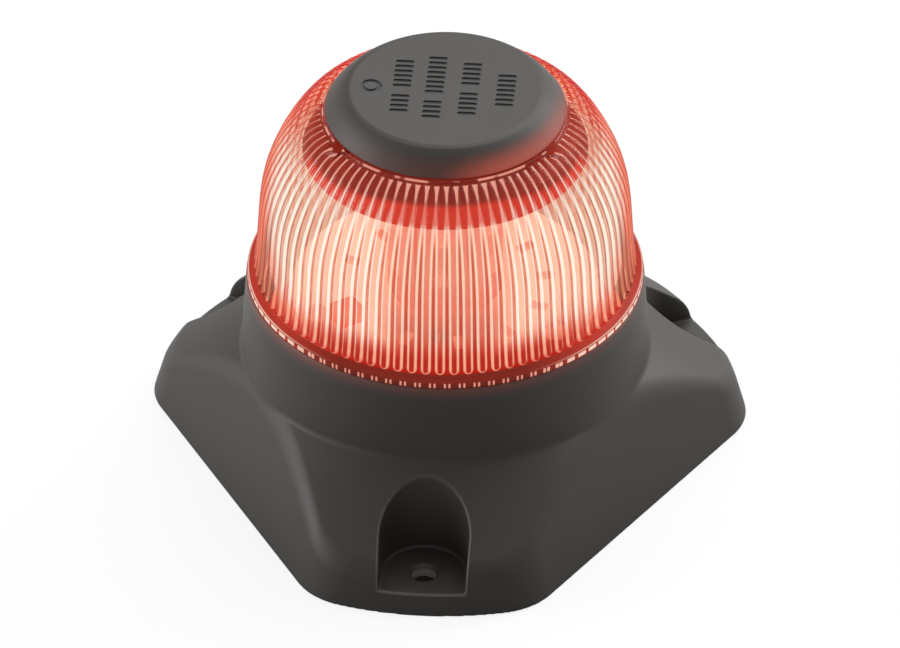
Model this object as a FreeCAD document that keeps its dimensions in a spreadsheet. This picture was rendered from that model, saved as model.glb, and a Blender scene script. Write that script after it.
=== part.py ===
import FreeCAD, Part
import math
import os
import Sketcher
from FreeCAD import Placement, Rotation, Vector

# All-round marine light on a three-point flared base.
# Millimetres. Origin: centre of the underside. +Z up, front screw pocket at -Y.
# The lens head (lens, cap and what is fixed to them) turns about Z in the collar
# of the housing as a three-lug bayonet; everything else belongs to the base.

os.makedirs("parts", exist_ok=True)
doc = FreeCAD.newDocument("AllRoundLight")
sheet = doc.addObject("Spreadsheet::Sheet", "Sheet")

SUMS = {
    "+": lambda a, b: a + b,
    "-": lambda a, b: a - b,
    "*": lambda a, b: a * b,
    "/": lambda a, b: a / b,
}


class Dim:
    """A number together with the sheet expression that gives it."""

    def __init__(self, value, text):
        self.value = float(value)
        self.text = text

    def __float__(self):
        return self.value

    def __add__(self, other):
        return combine("+", self, other)

    def __radd__(self, other):
        return combine("+", other, self)

    def __sub__(self, other):
        return combine("-", self, other)

    def __rsub__(self, other):
        return combine("-", other, self)

    def __mul__(self, other):
        return combine("*", self, other)

    def __rmul__(self, other):
        return combine("*", other, self)

    def __truediv__(self, other):
        return combine("/", self, other)


def combine(sign, left, right):
    texts = [v.text if isinstance(v, Dim) else repr(float(v)) for v in (left, right)]
    value = SUMS[sign](float(left), float(right))
    return Dim(value, "(%s %s %s)" % (texts[0], sign, texts[1]))


aliases = []


def size(alias, value):
    """Enter a driving dimension in the sheet."""
    aliases.append(alias)
    row = len(aliases)
    sheet.set("A%d" % row, alias)
    sheet.set("B%d" % row, "%g" % value)
    sheet.setAlias("B%d" % row, alias)
    return Dim(value, "Sheet." + alias)


# ------------------------------------------------------------------ driving dimensions
# Housing
foot_radius = size("foot_radius", 56.11)        # arc ends at the underside
foot_flat = size("foot_flat", 44.0)             # axis to side flat, at the underside
foot_corner = size("foot_corner", 13.2)         # plan rounding between flat and arc
flat_lean = size("flat_lean", 0.29)             # inward run of a flat per mm of rise
arc_lean = size("arc_lean", 0.26)               # inward run of an arc end per mm of rise
flare_radius = size("flare_radius", 64.05)      # flare cone carried down to the underside
collar_foot_radius = size("collar_foot_radius", 37.5)
collar_foot_height = size("collar_foot_height", 21.5)
collar_radius = size("collar_radius", 36.48)
collar_height = size("collar_height", 37.1)
shell_wall = size("shell_wall", 2.8)
crease_radius = size("crease_radius", 1.6)
rim_radius = size("rim_radius", 0.45)
tube_bore = size("tube_bore", 33.0)
tube_wall = size("tube_wall", 2.8)
seal_bore = size("seal_bore", 34.9)
seal_bore_floor = size("seal_bore_floor", 32.0)
ledge_radius = size("ledge_radius", 28.6)
ledge_low = size("ledge_low", 21.4)
ledge_high = size("ledge_high", 23.6)
# Bayonet
lug_radius = size("lug_radius", 34.55)
lug_low = size("lug_low", 27.0)
lug_high = size("lug_high", 29.0)
lug_arc = size("lug_arc", 22.0)                 # degrees
twist_arc = size("twist_arc", 20.0)             # degrees of turn to release
track_radius = size("track_radius", 34.65)
track_low = size("track_low", 26.7)
track_high = size("track_high", 29.1)
lug_start = size("lug_start", 79.0)             # first lug's leading edge when locked
# Screw pockets
screw_circle = size("screw_circle", 48.3)
pocket_floor = size("pocket_floor", 4.25)
pocket_radius = size("pocket_radius", 7.95)
pocket_draft = size("pocket_draft", 0.035)
pocket_wall = size("pocket_wall", 2.2)
screw_hole = size("screw_hole", 2.25)
screw_mouth = size("screw_mouth", 2.6)
# Bottom plate
plate_thick = size("plate_thick", 1.6)
plate_inset = size("plate_inset", 2.0)
plate_play = size("plate_play", 0.1)
cover_screw_circle = size("cover_screw_circle", 43.0)
boss_radius = size("boss_radius", 3.2)
pilot_radius = size("pilot_radius", 1.2)
# Lens
flange_radius = size("flange_radius", 36.3)
flange_top = size("flange_top", 38.75)
rib_count = size("rib_count", 84)
rib_depth = size("rib_depth", 0.55)
rib_width = size("rib_width", 1.45)
rib_start = size("rib_start", -1.3)             # degrees
lens_wall = size("lens_wall", 2.2)
lens_top = size("lens_top", 73.55)
spigot_radius = size("spigot_radius", 34.82)
spigot_low_radius = size("spigot_low_radius", 32.92)
spigot_bore = size("spigot_bore", 30.9)
# Cap
cap_top = size("cap_top", 78.25)
cap_flat_radius = size("cap_flat_radius", 17.86)
cap_radius = size("cap_radius", 22.07)
cap_shoulder = size("cap_shoulder", 73.96)
cap_rim = size("cap_rim", 73.78)
cap_skin = size("cap_skin", 1.8)
cap_screw_circle = size("cap_screw_circle", 12.0)
# Electronics
driver_radius = size("driver_radius", 30.0)
driver_low = size("driver_low", 8.0)
driver_thick = size("driver_thick", 1.6)
standoff_circle = size("standoff_circle", 26.0)
disc_radius = size("disc_radius", 28.6)         # heat sink drum
disc_top = size("disc_top", 33.0)
board_thick = size("board_thick", 1.2)
column_flat = size("column_flat", 8.2)          # axis to hexagon flat
column_top = size("column_top", 60.5)
strip_width = size("strip_width", 9.0)
strip_thick = size("strip_thick", 1.0)
pad_thick = size("pad_thick", 0.3)
led_side = size("led_side", 3.5)
led_thick = size("led_thick", 0.7)
led_dome = size("led_dome", 1.25)
# Ridge line of the lens ribs, foot to crown: radius, height
RIDGE_LINE = (
    (35.22, 39.25), (34.93, 41.1), (34.42, 46.06), (34.17, 50.05),
    (33.83, 54.47), (33.26, 57.8), (32.25, 61.1), (30.66, 64.76),
    (28.69, 68.2), (26.73, 70.71), (24.6, 72.45), (22.4, 73.55),
)
DOME = [(size("dome_radius_%d" % i, radius), size("dome_height_%d" % i, height))
        for i, (radius, height) in enumerate(RIDGE_LINE, 1)]
doc.recompute()

driver_top = driver_low + driver_thick
board_top = disc_top + board_thick

# Directions about Z, in degrees from +X
FLATS = (90.0, 210.0, 330.0)         # middles of the side flats
ENDS = (270.0, 30.0, 150.0)          # middles of the arc ends
THIRDS = (30.0, 150.0, 270.0)        # ledge and crown screws
COVER_SCREWS = (54.0, 126.0, 174.0, 246.0, 294.0, 6.0)
BOARD_SCREWS = (207.0, 327.0, 87.0)
LUGS = (0.0, 120.0, 240.0)           # added to lug_start
KEYS = (214.0, 334.0, 94.0)          # cap keys in the crown windows

# Places shared by several pieces
OVER = 1.0                           # how far a cutter stands past a face
ledge_screw_circle = 30.9
board_screw_circle = 25.3
vent_circle = 20.0
vent_radius = 3.0
gland_radius = 5.0
cable_radius = 3.0
cable_top = 6.0
standoff_hole = 1.3
lead_y = -16.0                       # leads between the two boards


# ------------------------------------------------------------------ helpers
def bind(obj, prop, value):
    """Set a property, by expression when the value comes from the sheet."""
    if isinstance(value, Dim):
        obj.setExpression(prop, value.text)
    elif "." in prop:
        obj.setExpression(prop, "%r" % float(value))
    else:
        setattr(obj, prop, float(value))


def new_sketch(body, name, role, lift=None):
    """Sketch on an origin plane of the body, lifted along its normal."""
    sketch = body.newObject("Sketcher::SketchObject", name)
    plane = [f for f in body.Origin.OriginFeatures if f.Role == role][0]
    sketch.AttachmentSupport = [(plane, "")]
    sketch.MapMode = "FlatFace"
    if lift is not None:
        bind(sketch, "AttachmentOffset.Base.z", lift)
    return sketch


def closed_line(sketch, points):
    """Closed polygon; every corner is located from the sketch origin."""
    count = len(points)
    corners = [Vector(float(x), float(y), 0) for x, y in points]
    for i in range(count):
        sketch.addGeometry(Part.LineSegment(corners[i], corners[(i + 1) % count]), False)
    for i in range(count):
        sketch.addConstraint(Sketcher.Constraint("Coincident", i, 2, (i + 1) % count, 1))
    for i, (x, y) in enumerate(points):
        # -2 is the vertical axis of the sketch, -1 the horizontal one
        for kind, axis, value in (("DistanceX", -2, x), ("DistanceY", -1, y)):
            if abs(float(value)) < 1e-9:
                sketch.addConstraint(Sketcher.Constraint("PointOnObject", i, 1, axis))
                continue
            made = sketch.addConstraint(Sketcher.Constraint(kind, -1, 1, i, 1, float(value)))
            if isinstance(value, Dim):
                sketch.setExpression("Constraints[%d]" % made, value.text)


def turned(name, points):
    """Body turned about Z from a closed profile of (radius, height) corners."""
    body = doc.addObject("PartDesign::Body", name)
    sketch = new_sketch(body, name + "_profile", "XZ_Plane")
    closed_line(sketch, points)
    turn = body.newObject("PartDesign::Revolution", name + "_turn")
    turn.Profile = sketch
    turn.ReferenceAxis = (sketch, ["V_Axis"])
    turn.Angle = 360.0
    body.Tip = turn
    return body


def tube(name, inner, outer, low, high):
    return turned(name, [(inner, low), (outer, low), (outer, high), (inner, high)])


def primitive(kind, name, sizes, x, y, z):
    obj = doc.addObject("Part::" + kind, name)
    for prop, value in sizes.items():
        bind(obj, prop, value)
    for axis, value in zip("xyz", (x, y, z)):
        bind(obj, "Placement.Base." + axis, value)
    return obj


def cylinder(name, radius, low, high, x=0.0, y=0.0):
    return primitive("Cylinder", name, {"Radius": radius, "Height": high - low}, x, y, low)


def cone(name, radius_low, radius_high, low, high, x=0.0, y=0.0):
    sizes = {"Radius1": radius_low, "Radius2": radius_high, "Height": high - low}
    return primitive("Cone", name, sizes, x, y, low)


def torus(name, radius, section, z):
    return primitive("Torus", name, {"Radius1": radius, "Radius2": section}, 0.0, 0.0, z)


def block(name, x, y, z):
    """Box between the (low, high) pair given for each axis."""
    sizes = {"Length": x[1] - x[0], "Width": y[1] - y[0], "Height": z[1] - z[0]}
    return primitive("Box", name, sizes, x[0], y[0], z[0])


def span(centre, half):
    return centre - half, centre + half


def fuse(name, parts):
    obj = doc.addObject("Part::MultiFuse", name)
    obj.Shapes = parts
    return obj


def common(name, parts):
    obj = doc.addObject("Part::MultiCommon", name)
    obj.Shapes = parts
    return obj


def cut(name, base, tools):
    tool = tools[0] if len(tools) == 1 else fuse(name + "_tools", tools)
    obj = doc.addObject("Part::Cut", name)
    obj.Base = base
    obj.Tool = tool
    return obj


def group(name, parts):
    obj = doc.addObject("Part::Compound", name)
    obj.Links = parts
    return obj


def fixed(name, shape):
    obj = doc.addObject("Part::Feature", name)
    obj.Shape = shape
    return obj


def place(obj, degrees, x=0.0, y=0.0):
    """Turn an object about Z and move it in plan."""
    obj.Placement = Placement(Vector(x, y, 0), Rotation(Vector(0, 0, 1), degrees))
    return obj


def swung(obj, degrees):
    """Turn an object whose own placement is driven by the sheet."""
    return place(group(obj.Name + "_turned", [obj]), degrees)


def around(radius, degrees):
    angle = math.radians(degrees)
    return radius * math.cos(angle), radius * math.sin(angle)


def spots(radius, angles):
    """Numbered (x, y) places on a circle, counted from 1."""
    return enumerate([around(radius, degrees) for degrees in angles], 1)


def posts(name, circle, angles, radius, low, high):
    """Upright cylinders spaced on a circle."""
    return [cylinder("%s_%d" % (name, i), radius, low, high, *spot)
            for i, spot in spots(circle, angles)]


def slots(name, spot, slot, cross=False):
    """Driver slot along X, or a cross; slot is (half length, half width, low, high)."""
    x, y = spot
    length, width, low, high = slot
    made = [block(name + "_slot_a", span(x, length), span(y, width), (low, high))]
    if cross:
        made.append(block(name + "_slot_b", span(x, width), span(y, length), (low, high)))
    return made


def screw(name, spot, head, shank, slot, cross=False):
    """Head and shank are (radius, low, high); a head with two radii is a cone."""
    make_head = cone if len(head) == 4 else cylinder
    parts = [make_head(name + "_head", *head, *spot), cylinder(name + "_shank", *shank, *spot)]
    return cut(name, fuse(name + "_blank", parts), slots(name, spot, slot, cross))


def screw_set(name, circle, angles, **form):
    return group(name, [screw("%s_%d" % (name, i), spot, **form)
                        for i, spot in spots(circle, angles)])


def sector(inner, outer, low, high, start, sweep):
    """Ring sector between two radii; start and sweep in degrees."""
    inner, outer, low, high = float(inner), float(outer), float(low), float(high)
    wedge = Part.makeCylinder(outer, high - low, Vector(0, 0, low), Vector(0, 0, 1), sweep)
    shape = wedge.cut(Part.makeCylinder(inner, high - low + 2, Vector(0, 0, low - 1)))
    shape.rotate(Vector(0, 0, 0), Vector(0, 0, 1), start)
    return shape


# ------------------------------------------------------------------ housing
pocket_high = 30.0         # pocket cutters reach up and out past the skin
pocket_reach = 70.0
ridge_above = 7.0          # creases between flare and foot lie above this height
track_play = 0.6           # degrees at each end of a bayonet track
ledge_chamfer = 1.6        # rise of the cone under the ledge
cone_wall = 1.6            # flare wall measured level, in shell walls
groove_inner, groove_outer = 33.7, 35.1      # cover seal groove


def foot_wire(flat, arc, corner, z):
    """Plan outline: three straight sides and three arc ends, rounded where they meet."""
    reach = math.sqrt((arc - corner) ** 2 - (flat - corner) ** 2)
    half = math.atan2(reach, flat - corner)
    third = math.radians(120)
    level = Vector(0, 0, z)

    def polar(radius, angle):
        return Vector(radius * math.cos(angle), radius * math.sin(angle), 0)

    curves = []
    for degrees in FLATS:
        facing = math.radians(degrees)
        normal = polar(1.0, facing)
        run = Vector(-normal.y, normal.x, 0) * reach
        sides, bends, tips = [], [], []
        for sign in (-1, 1):
            sides.append(normal * flat + run * sign + level)
            bend = polar(corner, facing + sign * half / 2)
            bends.append(normal * (flat - corner) + run * sign + bend + level)
            tips.append(polar(arc, facing + sign * half) + level)
        curves += [
            Part.Arc(tips[0], bends[0], sides[0]),
            Part.LineSegment(sides[0], sides[1]),
            Part.Arc(sides[1], bends[1], tips[1]),
            Part.Arc(tips[1], polar(arc, facing + third / 2) + level,
                     polar(arc, facing + third - half) + level),
        ]
    return Part.Wire([curve.toShape() for curve in curves])


def foot_prism(inset, low, high):
    """Leaning prism between two heights, inset from the outer skin."""
    inset = float(inset)
    wires = [foot_wire(float(foot_flat) - inset - float(flat_lean) * z,
                       float(foot_radius) - inset - float(arc_lean) * z,
                       float(foot_corner) - inset * 0.9, z)
             for z in (float(low), float(high))]
    return Part.makeLoft(wires, True, True)


def pocket_solid(grow, low):
    """U-shaped pocket at -Y with drafted walls, open away from the axis."""
    wires = []
    for z in (float(low), pocket_high):
        rise = z - float(pocket_floor)
        radius = float(pocket_radius) + float(grow) + float(pocket_draft) * rise
        y = -float(screw_circle)
        right_out, right = Vector(radius, -pocket_reach, z), Vector(radius, y, z)
        left, left_out = Vector(-radius, y, z), Vector(-radius, -pocket_reach, z)
        curves = [Part.LineSegment(right_out, right),
                  Part.Arc(right, Vector(0, y + radius, z), left),
                  Part.LineSegment(left, left_out),
                  Part.LineSegment(left_out, right_out)]
        wires.append(Part.Wire([curve.toShape() for curve in curves]))
    return Part.makeLoft(wires, True, True)


def pocket_ring(name, grow, low):
    """One pocket solid at each arc end."""
    return [place(fixed("%s_%d" % (name, i), pocket_solid(grow, low)), degrees - 270.0)
            for i, degrees in enumerate(ENDS, 1)]


def fillet(name, base, edges):
    obj = doc.addObject("Part::Fillet", name)
    obj.Base = base
    obj.Edges = edges
    doc.recompute()
    return obj


def outer_skin():
    """Flared foot and collar as one solid, with creases and rim rounded."""
    flare = turned("flare", [(0, 0), (flare_radius, 0),
                             (collar_foot_radius, collar_foot_height), (0, collar_foot_height)])
    prism = fixed("foot_prism", foot_prism(0.0, 0.0, collar_foot_height))
    foot = common("foot", [flare, prism])
    collar = turned("collar", [
        (0, collar_foot_height - 2), (collar_foot_radius, collar_foot_height - 2),
        (collar_foot_radius, collar_foot_height), (collar_radius, collar_height),
        (0, collar_height)])
    skin = fuse("outer_skin", [foot, collar])
    skin.Refine = True
    doc.recompute()

    joint, rim = float(collar_foot_height), float(collar_height)
    crease = float(crease_radius)
    ridges = []
    for i, edge in enumerate(skin.Shape.Edges, 1):
        box = edge.BoundBox
        if box.ZMin > ridge_above and box.ZMax < joint - 0.05:
            ridges.append((i, crease, crease))
    soft_skin = fillet("soft_skin", skin, ridges)

    # full circles only: the joint of foot and collar, and the top rim
    circles = []
    for i, edge in enumerate(soft_skin.Shape.Edges, 1):
        box = edge.BoundBox
        if edge.Length <= 150:
            continue
        if abs(box.ZMin - joint) < 0.01 and abs(box.ZMax - joint) < 0.01:
            circles.append((i, crease * 0.6, crease * 0.6))
        if abs(box.ZMin - rim) < 0.01:
            circles.append((i, float(rim_radius), float(rim_radius)))
    return fillet("shell_skin", soft_skin, circles)


def mounting_holes():
    """Screw holes in the pocket floors, each with a conical mouth."""
    flare = screw_mouth - screw_hole
    holes = []
    for i, spot in spots(screw_circle, ENDS):
        holes.append(cylinder("screw_way_%d" % i, screw_hole, -OVER, pocket_floor + 2, *spot))
        holes.append(cone("screw_mouth_%d" % i, screw_hole, screw_mouth + flare,
                          pocket_floor - flare, pocket_floor + flare, *spot))
    return holes


def tube_space():
    """Bores of the collar tube: sealing land above, bayonet bore, heat sink ledge."""
    return turned("tube_space", [
        (0, -OVER), (tube_bore, -OVER), (tube_bore, ledge_low - ledge_chamfer),
        (ledge_radius, ledge_low), (ledge_radius, ledge_high), (tube_bore, ledge_high),
        (tube_bore, seal_bore_floor), (seal_bore, seal_bore_floor),
        (seal_bore, collar_height - 0.5), (seal_bore + 0.4, collar_height + OVER),
        (0, collar_height + OVER)])


def bayonet_tracks():
    """Three tracks: an entry slot open at the sealing land, and a level run."""
    tracks = []
    inner = tube_bore - 1.0
    for i, base in enumerate(LUGS, 1):
        start = float(lug_start) + base - track_play
        sweep = float(lug_arc) + 2 * track_play
        twist = float(twist_arc)
        run = sector(inner, track_radius, track_low, track_high, start, sweep + twist)
        entry = sector(inner, track_radius, track_low, seal_bore_floor + 0.5,
                       start + twist, sweep)
        tracks.append(fixed("track_%d" % i, run.fuse(entry)))
    return tracks


def core_space():
    """Hollow between tube and outer skin, around the pockets and screw bosses."""
    prism = fixed("core_prism", foot_prism(shell_wall, 0.0, collar_foot_height))
    wall = shell_wall * cone_wall
    flare = turned("core_cone", [
        (0, 0), (flare_radius - wall, 0),
        (collar_foot_radius - wall, collar_foot_height), (0, collar_foot_height)])
    keep = [cylinder("tube_wall_keep", tube_bore + tube_wall, -OVER, collar_height)]
    keep += pocket_ring("pocket_boss", pocket_wall, -OVER)
    keep += posts("cover_boss", cover_screw_circle, COVER_SCREWS, boss_radius, -OVER, 30)
    return cut("core_space", common("core_block", [prism, flare]), keep)


def base_housing():
    skin = outer_skin()
    tools = pocket_ring("pocket", 0.0, pocket_floor) + mounting_holes()
    tools.append(tube_space())
    tools += bayonet_tracks()
    tools.append(fixed("plate_recess", foot_prism(plate_inset, -OVER, plate_thick)))
    tools.append(core_space())
    tools.append(tube("seal_groove", groove_inner, groove_outer, 0, plate_thick + 1.3))
    tools += posts("cover_pilot", cover_screw_circle, COVER_SCREWS, pilot_radius,
                   plate_thick - OVER, plate_thick + 7.5)
    tools += posts("ledge_pilot", ledge_screw_circle, THIRDS, 0.8,
                   ledge_high - 2.0, ledge_high + 0.5)
    return cut("base_housing", skin, tools)


# ------------------------------------------------------------------ bottom plate
def bottom_plate():
    """Plate with a locating ring on top and ways for screws, cable, breather, standoffs."""
    blank = fixed("plate_blank", foot_prism(plate_inset + plate_play, 0.0, plate_thick))
    ring = tube("plate_spigot", 31.0, 32.9, plate_thick, plate_thick + 2)
    high = plate_thick + OVER
    tools = posts("plate_way", screw_circle, ENDS, screw_hole, -OVER, high)
    for i, spot in spots(cover_screw_circle, COVER_SCREWS):
        tools.append(cylinder("plate_screw_way_%d" % i, 1.6, -OVER, high, *spot))
        tools.append(cone("plate_sink_%d" % i, 3.0, 1.6, 0.0, 1.2, *spot))
    tools.append(cylinder("plate_gland_way", gland_radius, -OVER, high))
    tools.append(cylinder("plate_vent_way", vent_radius, -OVER, high,
                          *around(vent_circle, 270.0)))
    tools += posts("plate_standoff_way", standoff_circle, FLATS, standoff_hole, -OVER, high)
    return cut("bottom_plate", fuse("plate_solid", [blank, ring]), tools)


def cover_seal():
    """Ring in the groove between plate and tube wall."""
    return torus("cover_seal", (groove_inner + groove_outer) / 2, 0.62, plate_thick + 0.64)


def cover_screws():
    """Countersunk self-tapping screws of the plate."""
    return screw_set("cover_screws", cover_screw_circle, COVER_SCREWS,
                     head=(2.75, 1.45, 0.1, 1.3), shank=(pilot_radius - 0.03, 1.0, 8.4),
                     slot=(1.5, 0.35, 0.0, 0.75), cross=True)


# ------------------------------------------------------------------ cable entry
terminal_front = 12.0                # face towards the axis
terminal_x = 2.54                    # each pole, either side of the middle
clamp_height = driver_top + 4.0      # middle of the wire clamps


def cable_grommet():
    bore = cable_radius + 0.02
    outer = gland_radius - 0.05
    return turned("cable_grommet", [
        (bore, 0.15), (outer, 0.15), (outer, plate_thick), (6.4, plate_thick),
        (6.4, plate_thick + 1.0), (4.4, plate_thick + 3.2), (bore, plate_thick + 3.2)])


def supply_cable():
    """Round sheath that ends in the housing, cut short at the underside."""
    return cylinder("supply_cable", cable_radius, 0.3, cable_top)


def cable_core(name, side):
    """Conductor on the +X or -X side: rises, bends over and runs level to its clamp."""
    height = float(clamp_height)
    start = Vector(side * 1.3, 0, cable_top)
    bend = Vector(side * terminal_x, terminal_front - 3.0, height)
    end = Vector(side * terminal_x, terminal_front + 3.5, height)
    curve = Part.BSplineCurve()
    curve.interpolate(Points=[start, bend], InitialTangent=Vector(0, 0, 9),
                      FinalTangent=Vector(0, 9, 0))
    path = Part.Wire([curve.toShape(), Part.LineSegment(bend, end).toShape()])
    ring = Part.Wire([Part.Circle(start, Vector(0, 0, 1), 0.78).toShape()])
    return fixed(name, path.makePipeShell([ring], True, False))


def breather_plug():
    """Plug pressed in the plate."""
    stem = vent_radius - 0.05
    plug = turned("breather_plug", [
        (0, 0.25), (stem, 0.25), (stem, plate_thick), (3.9, plate_thick),
        (3.9, plate_thick + 0.8), (0, plate_thick + 1.4)])
    return place(plug, 0.0, *around(vent_circle, 270.0))


# ------------------------------------------------------------------ driver board
terminal_screw_y = terminal_front + 4.6
terminal_seat = driver_top + 5.6
choke_spot = (-15.0, -7.0)
core_radius, cheek_radius = 3.6, 5.2         # choke
CAPACITOR_SPOTS = ((13.5, -11.0), (18.5, -1.5))
chip_y = -10.8


def driver_board():
    low, high = driver_low - OVER, driver_top + OVER
    tools = [cylinder("driver_centre", 4.2, low, high)]
    tools += posts("driver_way", standoff_circle, FLATS, standoff_hole, low, high)
    disc = cylinder("driver_disc", driver_radius, driver_low, driver_top)
    return cut("driver_board", disc, tools)


def board_standoffs():
    """Tapped pillars with a stub in the plate."""
    standoffs = []
    for i, spot in spots(standoff_circle, FLATS):
        pillar = cylinder("pillar_%d" % i, 2.4, plate_thick, driver_low, *spot)
        stub = cylinder("pillar_stub_%d" % i, standoff_hole - 0.03, 0.3, plate_thick + 1, *spot)
        tap = cylinder("pillar_tap_%d" % i, 1.02, driver_low - 4.5, driver_low + OVER, *spot)
        blank = fuse("standoff_blank_%d" % i, [pillar, stub])
        standoffs.append(cut("standoff_%d" % i, blank, [tap]))
    return group("board_standoffs", standoffs)


def board_screws():
    return screw_set("board_screws", standoff_circle, FLATS,
                     head=(2.1, driver_top, driver_top + 1.4),
                     shank=(1.0, driver_low - 4.0, driver_top + 0.5),
                     slot=(1.6, 0.3, driver_top + 0.8, driver_top + 2))


def terminal_block():
    case = block("terminal_case", span(0.0, 5.6), (terminal_front, terminal_front + 7.5),
                 (driver_top, driver_top + 8.0))
    tools = []
    for i, x in enumerate((-terminal_x, terminal_x), 1):
        way = doc.addObject("Part::Cylinder", "terminal_way_%d" % i)
        way.Radius = 1.15
        way.Height = 5.0
        way.Placement = Placement(Vector(x, terminal_front - 0.5, float(clamp_height)),
                                  Rotation(Vector(1, 0, 0), -90))
        tools.append(way)
        tools.append(cylinder("terminal_well_%d" % i, 1.7, terminal_seat, driver_top + 9,
                              x, terminal_screw_y))
    return cut("terminal_block", case, tools)


def terminal_screws():
    heads = []
    for i, x in enumerate((-terminal_x, terminal_x), 1):
        name = "terminal_screw_%d" % i
        spot = (x, terminal_screw_y)
        head = cylinder(name + "_head", 1.6, terminal_seat, terminal_seat + 1.6, *spot)
        slot = (1.7, 0.3, terminal_seat + 1.0, terminal_seat + 2.4)
        heads.append(cut(name, head, slots(name, spot, slot)))
    return group("terminal_screws", heads)


def smoothing_capacitors():
    cans = []
    for i, spot in enumerate(CAPACITOR_SPOTS, 1):
        can = cylinder("can_%d" % i, 3.4, driver_top + 0.5, driver_top + 9.5, *spot)
        foot = cylinder("can_foot_%d" % i, 3.1, driver_top, driver_top + 0.6, *spot)
        cans.append(fuse("can_body_%d" % i, [can, foot]))
    return group("smoothing_capacitors", cans)


def driver_choke():
    """Bobbin with two cheeks."""
    cheek_low, cheek_high, top = driver_top + 1.2, driver_top + 5.2, driver_top + 6.4
    choke = turned("driver_choke", [
        (0, driver_top), (cheek_radius, driver_top), (cheek_radius, cheek_low),
        (core_radius, cheek_low), (core_radius, cheek_high), (cheek_radius, cheek_high),
        (cheek_radius, top), (0, top)])
    return place(choke, 0.0, *choke_spot)


def choke_winding():
    winding = tube("choke_winding", core_radius + 0.02, 4.9,
                   driver_top + 1.25, driver_top + 5.15)
    return place(winding, 0.0, *choke_spot)


def driver_chip():
    """Case on four bars that stand out along Y as its legs."""
    parts = [block("driver_case", span(0.0, 3.2), span(chip_y, 2.6),
                   (driver_top + 0.2, driver_top + 1.7))]
    for i in range(4):
        parts.append(block("driver_leg_%d" % i, span(-2.4 + 1.6 * i, 0.25), span(chip_y, 3.6),
                           (driver_top, driver_top + 0.4)))
    return fuse("driver_chip", parts)


def input_fuse():
    return block("input_fuse", (-17.5, -11.5), (9.0, 12.0), (driver_top, driver_top + 2.2))


# ------------------------------------------------------------------ heat sink
drum_bore = 25.6
drum_roof = 3.0
sink_rim_radius = 32.9
sink_rim_top = ledge_high + 2.0
column_turn = 0.5                    # degrees, first hexagon corner from +X


def hexagon_column():
    body = doc.addObject("PartDesign::Body", "hex_column")
    sketch = new_sketch(body, "hex_outline", "XY_Plane", disc_top - 1)
    corner_radius = column_flat / math.cos(math.radians(30))
    closed_line(sketch, [around(corner_radius, column_turn + 60.0 * k) for k in range(6)])
    pad = body.newObject("PartDesign::Pad", "hex_pad")
    pad.Profile = sketch
    bind(pad, "Length", column_top - disc_top + 1)
    body.Tip = pad
    return body


def heat_sink():
    """Hollow drum with a rim on the ledge and a hexagonal column on top."""
    roof = disc_top - drum_roof
    hat = turned("hat", [
        (drum_bore, ledge_high), (sink_rim_radius, ledge_high),
        (sink_rim_radius, sink_rim_top), (disc_radius, sink_rim_top),
        (disc_radius, disc_top), (0, disc_top), (0, roof), (drum_bore, roof)])
    tools = [cylinder("sink_tap", 1.25, column_top - 9, column_top + OVER),
             cylinder("sink_lead_way", 2.6, roof - OVER, disc_top + OVER, 0, lead_y)]
    tools += posts("sink_way", ledge_screw_circle, THIRDS, 1.1,
                   ledge_high - OVER, sink_rim_top + OVER)
    tools += posts("sink_board_tap", board_screw_circle, BOARD_SCREWS, 0.85,
                   disc_top - 2.6, disc_top + OVER)
    return cut("heat_sink", fuse("heat_sink_blank", [hat, hexagon_column()]), tools)


def heat_sink_screws():
    return screw_set("heat_sink_screws", ledge_screw_circle, THIRDS,
                     head=(1.45, sink_rim_top, sink_rim_top + 1.1),
                     shank=(0.75, ledge_high - 1.8, sink_rim_top + 0.2),
                     slot=(1.6, 0.25, sink_rim_top + 0.6, sink_rim_top + 2))


# ------------------------------------------------------------------ round board on the drum
RESISTOR_STEPS = (0, 1, 2, 3, 4, 5, 8, 9, 10, 11)    # occupied twelfths of a turn


def led_board():
    low, high = disc_top - OVER, board_top + OVER
    disc = cylinder("round_board", disc_radius - 0.4, disc_top, board_top)
    tools = [cylinder("round_board_centre", 10.0, low, high),
             cylinder("round_board_leads", 2.2, low, high, 0, lead_y)]
    tools += posts("round_board_way", board_screw_circle, BOARD_SCREWS, 1.1, low, high)
    return cut("led_board", disc, tools)


def led_board_screws():
    return screw_set("led_board_screws", board_screw_circle, BOARD_SCREWS,
                     head=(1.9, board_top, board_top + 1.2),
                     shank=(0.82, disc_top - 2.4, board_top + 0.3),
                     slot=(2.0, 0.28, board_top + 0.7, board_top + 2))


def board_resistors():
    chips = []
    for step in RESISTOR_STEPS:
        chip = block("chip_%d" % (step + 1), (17.0, 20.2), span(0.0, 0.8),
                     (board_top, board_top + 0.65))
        chips.append(swung(chip, 30.0 * step + 12.0))
    return group("board_resistors", chips)


def link_connector():
    """Open-topped socket."""
    blank = block("plug_blank", span(0.0, 2.4), span(0.0, 2.0), (board_top, board_top + 3.4))
    way = block("plug_way", span(0.0, 1.7), span(0.0, 1.2), (board_top + 1.0, board_top + 4))
    return place(cut("link_connector", blank, [way]), 36.0, -17.1, -12.4)


def board_leads():
    """Two leads from the driver board up through the round board."""
    return group("board_leads", [
        cylinder("lead_%d" % i, 0.55, driver_top, board_top + 0.9, x, lead_y)
        for i, x in enumerate((-0.9, 0.9), 1)])


# ------------------------------------------------------------------ LEDs on the column
# Each piece is made on the +X side and swung to the six flats.
pad_face = column_flat + pad_thick
strip_face = pad_face + strip_thick
led_face = strip_face + led_thick
LED_HEIGHTS = (42.5, 51.5)


def on_flats(name, make):
    """Group of what make(k) returns for each flat, swung to its flat."""
    parts = []
    for k in range(6):
        parts += [swung(part, column_turn + 30.0 + 60.0 * k) for part in make(k + 1)]
    return group(name, parts)


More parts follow.
